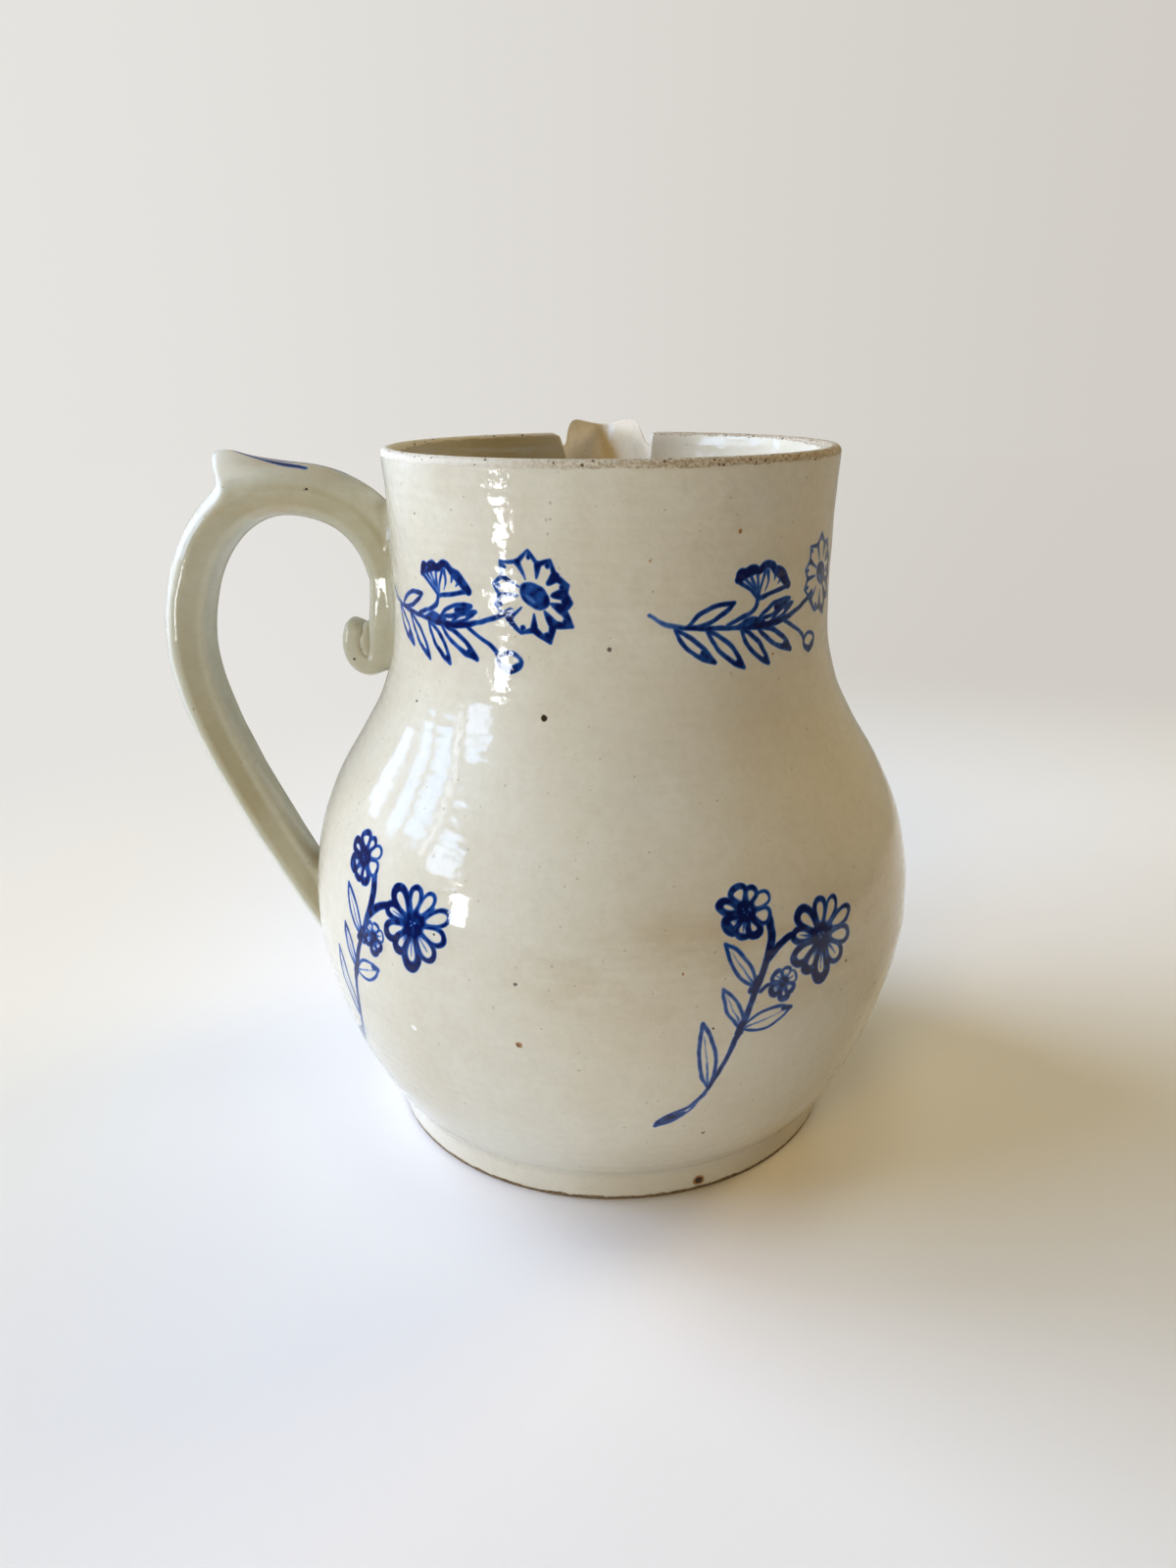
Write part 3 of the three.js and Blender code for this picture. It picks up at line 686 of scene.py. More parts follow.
def scroll_core():
    """A block of clay that closes the eye of the curl: |x|^p + |y|^p + |z|^p = 1 with p the CORE_POWER,
    stretched to its radii, with a little smooth unevenness."""
    columns = 64
    down = np.linspace(0.0, np.pi, 40)[1:-1, None]
    turn = 2 * np.pi * np.arange(columns) / columns
    ball = np.stack(np.broadcast_arrays(
        np.sin(down) * np.cos(turn), np.cos(down) + 0 * turn, np.sin(down) * np.sin(turn)), -1)
    swell = (np.abs(ball) ** CORE_POWER).sum(-1) ** (-1 / CORE_POWER)
    swell = swell * (1 + 0.02 * wave(4 * ball[..., 0] + 3 * ball[..., 1], 4 * ball[..., 2], 17, 3.0))
    centre, pole = np.array(CORE_CENTRE), [0, CORE_RADII[1], 0]
    return tube("scroll_core", centre + ball * CORE_RADII * swell[..., None], centre + pole, centre - pole)


# Blue flowers: strokes of a loaded brush, worked out as distances on a flat sheet in millimetres

def brush(ink, u, v, points, half_widths, strength=1.0, soft=0.32, loop=False):
    """Lays a stroke along a spline: ink is strength where the distance to the line is less than the
    half width there, falls smoothly to 0 over the soft edge, and the darkest stroke shows. Wide
    strokes hold more ink: strength times 0.62 + 0.55 half, up to the full strength."""
    points = np.asarray(points, float)
    if loop:
        points = np.vstack([points[-1:], points, points[:2]])
    length = arc_lengths(points)[-1]
    count = max(8, int(length / 0.14) * 2)
    line = spline(points, count)
    half = np.interp(np.linspace(0, 1, count), np.linspace(0, 1, len(half_widths)), half_widths)
    if loop:
        keep = slice(count // (len(points) - 1), count - count // (len(points) - 1) + 1)
        line, half = line[keep], half[keep]
    near = half.max() + soft + 0.3
    rows = np.flatnonzero((v[:, 0] > line[:, 1].min() - near) & (v[:, 0] < line[:, 1].max() + near))
    columns = np.flatnonzero((u[0] > line[:, 0].min() - near) & (u[0] < line[:, 0].max() + near))
    if len(rows) == 0 or len(columns) == 0:
        return
    part = np.ix_(rows, columns)
    gap = np.hypot(u[part][..., None] - line[:, 0], v[part][..., None] - line[:, 1]) - half
    nearest = gap.argmin(-1)
    gap = np.take_along_axis(gap, nearest[..., None], -1)[..., 0]
    load = strength * np.minimum(1.0, 0.62 + 0.55 * half[nearest])
    ink[part] = np.maximum(ink[part], load * (1 - smoothstep(-soft, soft, gap)))


def blot(ink, u, v, centre, radii, turn=0.0, strength=1.0, soft=0.12, lift=False):
    """Fills an ellipse, or with lift wipes the ink off inside it."""
    c, s = math.cos(turn), math.sin(turn)
    x, y = u - centre[0], v - centre[1]
    near = np.hypot((x * c + y * s) / radii[0], (y * c - x * s) / radii[1])
    inside = 1 - smoothstep(1 - soft, 1 + soft, near)
    ink[:] = ink * (1 - inside * strength) if lift else np.maximum(ink, inside * strength)


def leaf(ink, u, v, base, tip, left, right, half, dark=0.0, rib=True):
    """Two bowed edges from base to tip, left and right of the line between them by the given
    distances, with a fine middle rib and a tip that is filled over a share of the length."""
    base, tip = np.asarray(base, float), np.asarray(tip, float)
    axis = tip - base
    across = np.array([-axis[1], axis[0]]) / np.linalg.norm(axis)
    for bow in (left, -right):
        line = [base, base + 0.22 * axis + 0.72 * bow * across, base + 0.5 * axis + bow * across,
                base + 0.8 * axis + 0.62 * bow * across, tip]
        brush(ink, u, v, line, [0.7 * half, half, half, 1.1 * half, half], 0.95)
    if rib:
        middle = [base, base + 0.4 * axis + 0.15 * (left - right) * across, base + 0.82 * axis]
        brush(ink, u, v, middle, [0.3, 0.22, 0.12], 0.6)
    if dark:
        brush(ink, u, v, [base + (1 - dark) * axis, tip], [0.3 * (left + right), 0.35], 1.0)


def petal(ink, u, v, centre, angle, start, end, width, half, wipe, streak):
    """A closed loop: out along the angle from start to end by (1 - cos t) / 2, and to each side by
    width times sin t times the square root of that share. The inside is wiped pale first. A streak
    is a fine line from the start to that share of the length."""
    t = np.linspace(0, 2 * np.pi, 15)[:-1]
    share = (1 - np.cos(t)) / 2
    out = start + (end - start) * share
    side = width * np.sin(t) * np.sqrt(share)
    blot(ink, u, v, turned(centre, angle, start + 0.6 * (end - start)),
         (0.44 * (end - start), 0.9 * width), angle, wipe, 0.2, lift=True)
    brush(ink, u, v, turned(centre, angle, out, side), [0.5 * half, half, 1.5 * half, half, 0.5 * half], loop=True)
    if streak:
        far = start + streak * (end - start)
        brush(ink, u, v, turned(centre, angle, np.array([start, (start + far) / 2, far])), [0.34, 0.2, 0.08], 0.85)


HEAVY_SIDE = 3.8


def rosette(ink, u, v, centre, radius, count, heart, half, seed, core):
    """A flower of rounded petals of uneven size, each with its own weight of line, heaviest towards
    one side: half times 0.85 + 0.35 cos(angle - HEAVY_SIDE). The ground between them is dark, and
    the heart, filled to the core's strength, has a few pale dots."""
    draw = np.random.default_rng(seed)
    blot(ink, u, v, centre, (0.74 * radius, 0.74 * radius))
    for k in range(count):
        angle = 2 * np.pi * (k + draw.uniform(-0.2, 0.2)) / count + 0.4
        reach = radius * draw.uniform(0.84, 1.08)
        width = (0.82 * radius * np.sin(np.pi / count) + 0.2) * draw.uniform(0.72, 1.08)
        weight = half * (0.85 + 0.35 * math.cos(angle - HEAVY_SIDE)) * draw.uniform(0.75, 1.3)
        petal(ink, u, v, centre, angle, heart * draw.uniform(1.1, 1.5), reach, width, weight,
              0.94, draw.choice([0.0, 0.0, 0.5, 0.7]))
    blot(ink, u, v, centre, (heart, heart), 0.0, core, 0.3)
    for k in range(5):
        angle, far = draw.uniform(0, 2 * np.pi), heart * draw.uniform(0.2, 0.8)
        blot(ink, u, v, turned(centre, angle, far), (0.16 * heart, 0.12 * heart), angle, 0.7, 0.5, lift=True)


DAISY_TIPS = ((-165, 9.6, 0.34), (-111, 8.8, 0.5), (-71, 10.4, 0.62), (-37, 10.4, 0.66), (-8, 8.3, 0.72),
              (18, 8.0, 0.66), (63, 8.5, 0.46), (97, 9.6, 0.4), (138, 10.4, 0.34), (168, 9.9, 0.34))
DAISY_NOTCHES = (8.0, 7.2, 7.2, 6.8, 6.4, 6.2, 6.7, 7.8, 8.2, 7.9)
HEART_TURN = -0.62


def daisy(ink, u, v, centre):
    """A star of pointed petals, each given by the angle, the distance and the line weight of its
    tip. Two straight-sided strokes meet at each tip, the tip is filled, and a dark wedge runs in
    from the notch after it towards a turned oval heart."""
    def at(degrees, r):
        """A place at an angle in degrees and a distance from the centre."""
        return turned(centre, math.radians(degrees), r)

    turns = [tip[0] for tip in DAISY_TIPS]
    gaps = [(turn + after) / 2 for turn, after in zip(turns, turns[1:] + [turns[0] + 360])]
    for k, (turn, reach, weight) in enumerate(DAISY_TIPS):
        before, after = at(gaps[k - 1], DAISY_NOTCHES[k - 1]), at(gaps[k], DAISY_NOTCHES[k])
        brush(ink, u, v, [before, at(turn, reach)], [1.25 * weight, weight, 0.55 * weight])
        brush(ink, u, v, [at(turn, reach), after], [0.55 * weight, weight, 1.25 * weight])
        brush(ink, u, v, [at(turn, 0.84 * reach), at(turn, 0.95 * reach)], [1.1 * weight, 0.5 * weight])
        brush(ink, u, v, [after, at(gaps[k], 0.72 * DAISY_NOTCHES[k]), at(gaps[k], 3.9)],
              [1.7 * weight, 0.9 * weight, 0.2])
    blot(ink, u, v, centre, (3.5, 2.35), HEART_TURN, 0.85, 0.14)
    t = np.linspace(-0.4, 3.4, 9) + HEART_TURN
    brush(ink, u, v, turned(centre, HEART_TURN, 3.2 * np.cos(t), 2.1 * np.sin(t)), [0.3, 0.55, 0.6, 0.5, 0.3])
    blot(ink, u, v, (centre[0] - 0.7, centre[1] - 0.8), (1.5, 0.6), HEART_TURN, 0.6, 0.5, lift=True)


# Strokes: points, half widths, strength, soft edge. Leaves: base, tip, left, right, half width, dark share
NECK_STROKES = (
    ([(-25.2, 4.3), (-21.3, 2.1), (-16.5, 1.2)], [0.4, 0.6, 0.5], 0.55, 0.4),
    ([(-18.6, 1.4), (-16.5, 1.2), (-8, 0.5), (-2, 0.1), (4, -0.1), (9.8, 0.6), (14, 1.7), (18, 3.1), (21.5, 4.8)],
     [0.35, 0.5, 0.45, 0.7, 0.75, 0.5, 0.5, 0.6]),
    ([(-7.2, 1.0), (-4.5, 2.0), (-1.4, 3.0), (0.3, 4.2), (1.0, 6.0)], [0.45, 0.5, 0.55, 0.5], 0.95),
    ([(-4, 0.6), (-1.5, 1.3), (0.8, 0.9), (2.6, 0.4)], [0.5, 1.0, 0.8], 0.8),
    ([(1.2, 6.0), (-1.7, 8.3), (-5.2, 10.5)], [0.45, 0.42, 0.5]),
    ([(1.5, 6.0), (5.8, 6.9), (10.8, 7.9)], [0.5, 0.42, 0.5]),
    ([(-5.0, 10.3), (-4.3, 12.1), (-2.9, 11.9), (-1.0, 12.7), (0.8, 12.1), (2.9, 13.1), (4.6, 12.9), (5.8, 11.9),
     (7.6, 11.1), (9.2, 9.8), (10.6, 7.9)], [0.6, 0.9, 0.85, 0.8, 0.85, 0.95, 0.85]),
    ([(-4.4, 10.7), (-3.0, 11.4), (-0.6, 11.9), (2.2, 12.2)], [0.8, 0.9, 0.7, 0.5]),
    ([(5.4, 11.6), (7.8, 10.2), (9.9, 8.4)], [0.5, 0.85, 0.8]),
    ([(3.4, 11.6), (3.8, 9.4), (3.0, 7.4)], [0.5, 0.28, 0.1], 0.8),
    ([(6.0, 10.8), (5.6, 9.4)], [0.5, 0.15], 0.8),
    ([(7.9, 9.7), (6.9, 8.6)], [0.5, 0.15], 0.8),
    ([(9.4, 0.3), (13.6, -2.0), (17.2, -4.0), (18.4, -5.6)], [0.45, 0.42, 0.5], 0.9),
    ([(19.2, -7.4), (21.2, -8.2), (23.2, -7.0)], [0.5, 0.85, 0.6]),
)
NECK_LEAVES = (
    ((-16.8, 1.4), (-5.6, 5.6), 1.6, 1.3, 0.45),
    ((-19.6, 0.9), (-10.2, -6.8), 0.9, 1.5, 0.42, 0.3),
    ((-12.2, 0.3), (-2.6, -8.7), 1.3, 1.2, 0.45, 0.15),
    ((-3.6, -0.2), (4.7, -8.7), 1.4, 1.3, 0.46, 0.12),
    ((1.2, -0.4), (12.6, -6.7), 1.5, 1.1, 0.5, 0.2),
    ((1.4, 1.6), (11.3, 4.8), 1.2, 0.9, 0.45, 0.45),
    ((5.0, 0.5), (12.6, 3.7), 0.8, 0.6, 0.4, 0.35),
)


def neck_sprig(ink, u, v):
    """A lying stem with leaves below, a fan flower above, a star daisy at its end and a bud."""
    for stroke in NECK_STROKES:
        brush(ink, u, v, *stroke)
    for row in NECK_LEAVES:
        leaf(ink, u, v, *row, rib=False)
    for end in ((-3.6, 11.2), (-1.6, 11.6), (0.4, 11.9), (2.8, 12.2)):
        brush(ink, u, v, [(1.2, 6.2), (0.6 + 0.4 * end[0], 8.8), end], [0.3, 0.32, 0.4], 0.85)
    turn = np.linspace(0, 2 * np.pi, 11)[:-1]
    ring = np.stack([21.1 + 2.7 * np.cos(turn), -6.3 + 1.8 * np.sin(turn)], 1)
    brush(ink, u, v, ring, [0.4, 0.42, 0.4, 0.75, 0.4], loop=True)
    daisy(ink, u, v, (27.0, 8.2))


BELLY_STROKES = (
    ([(-6.1, -16.4), (-3.3, -9), (-1.4, -3), (0, 0.2), (1.6, 5.2), (3.9, 10.3), (5.8, 15.2), (7.2, 19), (7.3, 22.5),
     (6.6, 25.6)], [0.5, 0.55, 0.7, 0.75, 0.7, 0.8, 0.95, 1.0, 0.95]),
    ([(-6.1, -16.4), (-9.5, -21.2), (-13.6, -23.5), (-16.0, -25.6), (-16.7, -27.4)], [0.45, 0.45, 0.5, 0.55, 0.4],
     0.95),
    ([(-6.3, -17.6), (-9.8, -23.2), (-13.0, -26.0), (-16.6, -27.5)], [0.2, 0.3, 0.5, 0.4], 0.85),
    ([(-10.6, -23.4), (-13.2, -24.8), (-15.8, -26.5)], [0.5, 1.1, 0.8], 0.9),
    ([(5.9, 15.2), (9, 17.8), (11.8, 19.2), (15, 19.6), (18.8, 18.9)], [0.9, 0.8, 0.75, 0.8]),
    ([(4.4, 8.2), (5.8, 9.2), (7.6, 9.4)], [0.42, 0.42]),
    ([(2.2, 9.0), (3.4, 11.4)], [0.9, 0.6]),
    ([(-0.6, -0.9), (0.1, 1.4)], [1.0, 0.8]),
)
BELLY_LEAVES = (
    ((3.0, 9.5), (-3.8, 20.6), 1.7, 1.8, 0.36),
    ((0.0, 0.2), (-4.8, 10.5), 1.3, 1.6, 0.36),
    ((-6.1, -16.2), (-9.3, 3.1), 1.6, 2.2, 0.38),
)


def belly_sprig(ink, u, v, shift):
    """A standing stem that leans over, with four leaves, a big, a middling and a small flower. The
    shift, 0 to 1, draws the small flower and the leaf under it nearer the stem."""
    for stroke in BELLY_STROKES:
        brush(ink, u, v, *stroke)
    for row in BELLY_LEAVES:
        leaf(ink, u, v, *row)
    tip = (12.5 - 2.9 * shift, 2.4 + 0.5 * shift)
    leaf(ink, u, v, (0.0, 0.0), tip, 2.3, 2.5, 0.34)
    brush(ink, u, v, [(10.6 - 2.9 * shift, 2.7 + 0.4 * shift), tip], [0.7, 0.5])
    rosette(ink, u, v, (1.6, 26.6 + 1.3 * shift), 6.3, 8, 1.4, 0.55, 5, 0.8)
    rosette(ink, u, v, (21.4, 17.0), 9.5, 10, 1.7, 0.6, 8, 1.0)
    rosette(ink, u, v, (10.4 - 2.0 * shift, 9.0 + 1.8 * shift), 3.9, 6, 0.6, 0.42, 2, 0.95)


MARK_STEP = 0.25
STRAP_STROKES = (
    ([(-0.2, 8.5), (-1.9, 4.0), (-3.4, -0.5), (-4.3, -4.6)], [0.2, 0.35, 0.8, 0.5]),
    ([(0.4, -12.0), (0.0, -6.0), (-0.6, 0.0), (0.4, 6.0)], [0.55, 0.5, 0.4, 0.3], 0.9),
    ([(0.6, 31.0), (0.0, 39.0), (-0.8, 49.0), (0.4, 55.0)], [0.6, 0.5, 0.45, 0.3], 0.9),
)


def strap_marks(along, across):
    """Leaf pairs on the strap's outer face, before the spur and half way down the grip, as
    distances along the strap from its crest and across it."""
    rows = np.arange(along.min(), along.max(), MARK_STEP)
    columns = np.arange(-10.0, 10.0, MARK_STEP)
    v, u = np.meshgrid(rows, columns, indexing="ij")
    ink = np.zeros_like(u)
    for stroke in STRAP_STROKES:
        brush(ink, u, v, *stroke)
    leaf(ink, u, v + 5.0, (0.3, 8.5), (5.0, -1.0), 0.7, 0.6, 0.34, 0.35)
    leaf(ink, u, v - 39.0, (0.0, 0.0), (-4.6, 9.5), 1.4, 1.3, 0.45, 0.25)
    leaf(ink, u, v - 39.0, (0.0, -2.0), (4.8, 6.5), 1.3, 1.4, 0.45, 0.25)
    rosette(ink, u, v, (0.6, 57.0), 3.6, 6, 0.8, 0.42, 4, 0.9)
    i = np.broadcast_to((along - rows[0]) / MARK_STEP, across.shape)
    return sampled(ink, i, (across - columns[0]) / MARK_STEP)


OUTER_LENGTH = arc_lengths(OUTER)
LAYER_STEP = 0.2
LAYER_RISE = 0.04
DRAWING_SHAKE = 0.16


def sprig(name, draw, reach, turn_degrees, anchor_height, tilt, seed):
    """A thin glazed layer LAYER_RISE proud of the vessel that carries one sprig's ink. Its sheet lies
    on the wall: up is distance along the profile, across is the angle times the radius there. The
    drawing is shaken by smooth unevenness, and only the squares that ink comes near are kept."""
    left, right, low, high = reach
    columns = np.arange(left, right, LAYER_STEP)
    rows = np.arange(low, high, LAYER_STEP)
    u, v = np.meshgrid(columns, rows)
    shake = np.random.default_rng(seed).uniform(0, 50, 2)
    u_drawn = u + DRAWING_SHAKE * wave(u + shake[0], v, seed, 5.0)
    v_drawn = v + DRAWING_SHAKE * wave(u, v + shake[1], seed + 1, 5.0)
    ink = np.zeros_like(u)
    draw(ink, u, v)
    ink = sampled(ink, (v_drawn - low) / LAYER_STEP, (u_drawn - left) / LAYER_STEP)
    load = 0.94 + 0.2 * wave(u, v, seed + 2, 9.0) + 0.2 * wave(u, v, seed + 3, 2.2)
    ink = np.clip(ink * np.clip(load, 0.45, 1.2), 0, 1)

    start = np.interp(anchor_height, OUTER[:, 1], OUTER_LENGTH)
    flat = turned((0.0, 0.0), math.radians(tilt), u, v)
    height = np.interp(start + flat[..., 1], OUTER_LENGTH, OUTER[:, 1])
    bearing = math.radians(turn_degrees) + flat[..., 0] / outer_radius(height)
    angle = np.pi + math.radians(SPOUT_TURN) - bearing
    wrapped = np.mod(angle + np.pi, 2 * np.pi) - np.pi
    radius = outer_radius(height) - outer_uneven(wrapped, height) + LAYER_RISE
    points = around(radius, wrapped, height).reshape(-1, 3)

    quads = grid_quads(len(rows), len(columns), wrap_columns=False)
    corners = ink.ravel()[quads].max(1).reshape(len(rows) - 1, len(columns) - 1)
    wide = corners.copy()
    for shift in (1, 2):
        for axis in (0, 1):
            wide = np.maximum(wide, np.maximum(np.roll(corners, shift, axis), np.roll(corners, -shift, axis)))
    quads = quads[wide.ravel() > 0.01]
    used, flat = np.unique(quads, return_inverse=True)
    quads = flat.reshape(quads.shape)
    thing = piece(name, points[used], quads, closed=False, attributes={"ink": ink.ravel()[used]})
    thing.data.materials.append(body_glaze)


# Shader building

def add(tree, kind, inputs=None, **settings):
    """A shader node. Inputs go by socket name or number, as a value or another node's output."""
    node = tree.nodes.new("ShaderNode" + kind)
    for key, value in settings.items():
        setattr(node, key, value)
    for key, value in (inputs or {}).items():
        if isinstance(value, bpy.types.NodeSocket):
            tree.links.new(value, node.inputs[key])
        else:
            node.inputs[key].default_value = value
    return node


def maths(tree, operation, first, second=0.0):
    """The output of a Math node."""
    return add(tree, "Math", {0: first, 1: second}, operation=operation).outputs[0]


def times(tree, first, *others):
    """The values multiplied one after another."""
    for value in others:
        first = maths(tree, "MULTIPLY", first, value)
    return first


def plus(tree, first, second):
    """The sum of two values."""
    return maths(tree, "ADD", first, second)


def minus(tree, first, second):
    """The first value less the second."""
    return maths(tree, "SUBTRACT", first, second)


def vector(tree, operation, inputs):
    """The outputs of a Vector Math node: the vector, and the value for a length or a distance."""
    return add(tree, "VectorMath", inputs, operation=operation).outputs


def axes(tree, place):
    """The x, y and z of a place."""
    return add(tree, "SeparateXYZ", {0: place}).outputs


def stretched(tree, place, scale):
    """A place with its x, y and z multiplied by a scale."""
    return add(tree, "Mapping", {"Vector": place, "Scale": scale}).outputs[0]


def carried(tree, name):
    """The value that a piece carries under a name, 0 where it has none."""
    return add(tree, "Attribute", attribute_name=name).outputs["Fac"]


def between(tree, value, low, high, to_low=0.0, to_high=1.0):
    """A value mapped smoothly from one range to another and held at its ends."""
    return add(tree, "MapRange", {
        "Value": value, "From Min": low, "From Max": high, "To Min": to_low, "To Max": to_high,
    }, interpolation_type="SMOOTHSTEP").outputs["Result"]


def noise(tree, place, scale, detail=3.0, roughness=0.5):
    """The value of a 3D noise, about 0.5 on the mean."""
    return add(tree, "TexNoise", {
        "Vector": place, "Scale": scale, "Detail": detail, "Roughness": roughness,
    }).outputs["Fac"]


def mixed(tree, share, first, second, blend="MIX"):
    """Two colours mixed by a share."""
    return add(tree, "Mix", {"Factor": share, 6: first, 7: second}, data_type="RGBA", blend_type=blend).outputs[2]


def group(name, inputs, outputs):
    """A new shader group with named sockets. Gives the tree, what comes in and what goes out."""
    tree = bpy.data.node_groups.new(name, "ShaderNodeTree")
    for label, kind, default in inputs:
        socket = tree.interface.new_socket(name=label, in_out="INPUT", socket_type="NodeSocket" + kind)
        if default is not None:
            socket.default_value = default
    for label, kind in outputs:
        tree.interface.new_socket(name=label, in_out="OUTPUT", socket_type="NodeSocket" + kind)
    return tree, tree.nodes.new("NodeGroupInput").outputs, tree.nodes.new("NodeGroupOutput").inputs


def placed(tree, shared, inputs):
    """A shared group in a material, with this material's values."""
    return add(tree, "Group", inputs, node_tree=shared).outputs


def emptied(owner):
    """The cleared node tree of a new material or world."""
    owner.use_nodes = True
    owner.node_tree.nodes.clear()
    return owner.node_tree


def srgb(r, g, b):
    """A colour from its 0 to 255 values as seen on a screen, made linear."""
    def linear(v):
        """The screen's curve undone: v / 12.92 in the darkest part, else ((v + 0.055) / 1.055)^2.4."""
        v /= 255
        return v / 12.92 if v <= 0.04045 else ((v + 0.055) / 1.055) ** 2.4
    return (linear(r), linear(g), linear(b), 1.0)


def speck_group():
    """Small round specks: in a share of random cells, 1 near the cell's point and 0 past its size."""
    tree, given, out = group("iron_specks", [
        ("Vector", "Vector", None), ("Cells per metre", "Float", 100.0),
        ("Size", "Float", 0.1), ("Share", "Float", 0.2),
    ], [("Mask", "Float")])
    place = given["Vector"]
    shake = vector(tree, "SCALE", {0: noise(tree, place, 2200.0, 1.0), "Scale": 0.0004})[0]
    moved = vector(tree, "ADD", {0: place, 1: shake})[0]
    cells = add(tree, "TexVoronoi", {"Vector": moved, "Scale": given["Cells per metre"]}).outputs
    chance = add(tree, "SeparateColor", {0: cells["Color"]}).outputs
    chosen = maths(tree, "LESS_THAN", chance[0], given["Share"])
    size = times(tree, given["Size"], plus(tree, chance[1], 0.35))
    near = maths(tree, "DIVIDE", cells["Distance"], size)
    spot = minus(tree, 1.0, between(tree, near, 0.55, 1.0))
    tree.links.new(times(tree, chosen, spot), out["Mask"])
    return tree


NECK_START = (0.118, 0.135)


def skin_group():
    """The glaze's waviness as a height in metres: slow ripples, orange peel, and throwing rings
    that follow the height above the table. The ripples and the peel are stronger on the neck."""
    tree, given, out = group("glaze_waviness", [
        ("Vector", "Vector", None), ("Ripple", "Float", 0.00008), ("Peel", "Float", 0.00001),
        ("Rings", "Float", 0.00003),
    ], [("Height", "Float")])
    place = given["Vector"]
    part = axes(tree, place)
    flat = stretched(tree, place, (1.0, 1.0, 1.35))
    more_ripple = between(tree, part[2], *NECK_START, 1.0, 4.0)
    more_peel = between(tree, part[2], *NECK_START, 1.0, 1.8)
    ripple = times(tree, noise(tree, flat, 100.0, 2.5), given["Ripple"], more_ripple)
    peel = times(tree, noise(tree, flat, 560.0, 3.0, 0.6), given["Peel"], more_peel)
    drift = times(tree, noise(tree, place, 22.0, 1.0), 9.0)
    ring = maths(tree, "SINE", plus(tree, times(tree, part[2], 2100.0), drift))
    total = plus(tree, plus(tree, ripple, peel), times(tree, ring, given["Rings"]))
    tree.links.new(total, out["Height"])
    return tree


def tone_group():
    """The glaze's colour: cooler and warmer clouds, a tan stain in a band about a height, fine
    mottling, and faint lines from the wheel."""
    tree, given, out = group("glaze_tone", [
        ("Vector", "Vector", None), ("Pale", "Color", None), ("Warm", "Color", None),
        ("Stain", "Color", None), ("Stain share", "Float", 0.3), ("Stain height", "Float", 0.073),
    ], [("Color", "Color")])
    place = given["Vector"]
    clouds = between(tree, noise(tree, place, 14.0, 4.0, 0.6), 0.3, 0.72)
    base = mixed(tree, clouds, given["Pale"], given["Warm"])
    smear = between(tree, noise(tree, stretched(tree, place, (1.0, 1.0, 3.2)), 26.0, 8.0, 0.68), 0.42, 0.7)
    above = minus(tree, axes(tree, place)[2], given["Stain height"])
    band = times(tree, between(tree, above, -0.024, -0.003), between(tree, above, 0.018, 0.003))
    base = mixed(tree, times(tree, smear, band, given["Stain share"]), base, given["Stain"])
    mottle = between(tree, noise(tree, place, 420.0, 5.0, 0.75), 0.38, 0.66, 0.0, 0.12)
    base = mixed(tree, mottle, base, given["Warm"], "MULTIPLY")
    lines = noise(tree, stretched(tree, place, (0.04, 0.04, 1.0)), 1300.0, 3.0, 0.7)
    lines = between(tree, lines, 0.4, 0.7, 0.0, 0.035)
    base = mixed(tree, lines, base, given["Warm"], "MULTIPLY")
    tree.links.new(base, out["Color"])
    return tree


def bare_group():
    """Mask of the bare toasted clay on the rim and the foot's edge: heights past an edge that noise
    makes uneven. At the back of the rim the edge lies 1.1 mm higher."""
    tree, given, out = group("bare_clay_bands", [
        ("Vector", "Vector", None), ("Rim from", "Float", 0.1731), ("Foot to", "Float", 0.0008),
    ], [("Mask", "Float"), ("Grain", "Float")])
    place = given["Vector"]
    part = axes(tree, place)
    shake = times(tree, minus(tree, noise(tree, place, 260.0, 4.0, 0.65), 0.5), 0.0016)
    height = plus(tree, part[2], shake)
    rim_from = plus(tree, given["Rim from"], between(tree, part[1], -0.01, 0.04, 0.0, 0.0011))
    rim = between(tree, minus(tree, height, rim_from), -0.0001, 0.0002)
    foot = between(tree, minus(tree, given["Foot to"], height), -0.0001, 0.0002)
    tree.links.new(maths(tree, "MAXIMUM", rim, foot), out["Mask"])
    tree.links.new(noise(tree, place, 1500.0, 5.0, 0.7), out["Grain"])
    return tree


def spot_group():
    """One round spot: 1 within 0.8 of its size from a centre, falling smoothly to 0 at 1.25 of it."""
    tree, given, out = group("single_spot", [
        ("Vector", "Vector", None), ("Centre", "Vector", None), ("Size", "Float", 0.001),
    ], [("Mask", "Float")])
    place = given["Vector"]
    colours = add(tree, "TexNoise", {"Vector": place, "Scale": 900.0, "Detail": 2.0}).outputs["Color"]
    shake = vector(tree, "SCALE", {0: colours, "Scale": 0.0005})[0]
    moved = vector(tree, "ADD", {0: place, 1: shake})[0]
    gap = vector(tree, "DISTANCE", {0: moved, 1: given["Centre"]})["Value"]
    near = maths(tree, "DIVIDE", gap, given["Size"])
    tree.links.new(minus(tree, 1.0, between(tree, near, 0.8, 1.25)), out["Mask"])
    return tree


SPOT = spot_group()
SPECKS = speck_group()
SKIN = skin_group()
TONE = tone_group()
BARE = bare_group()

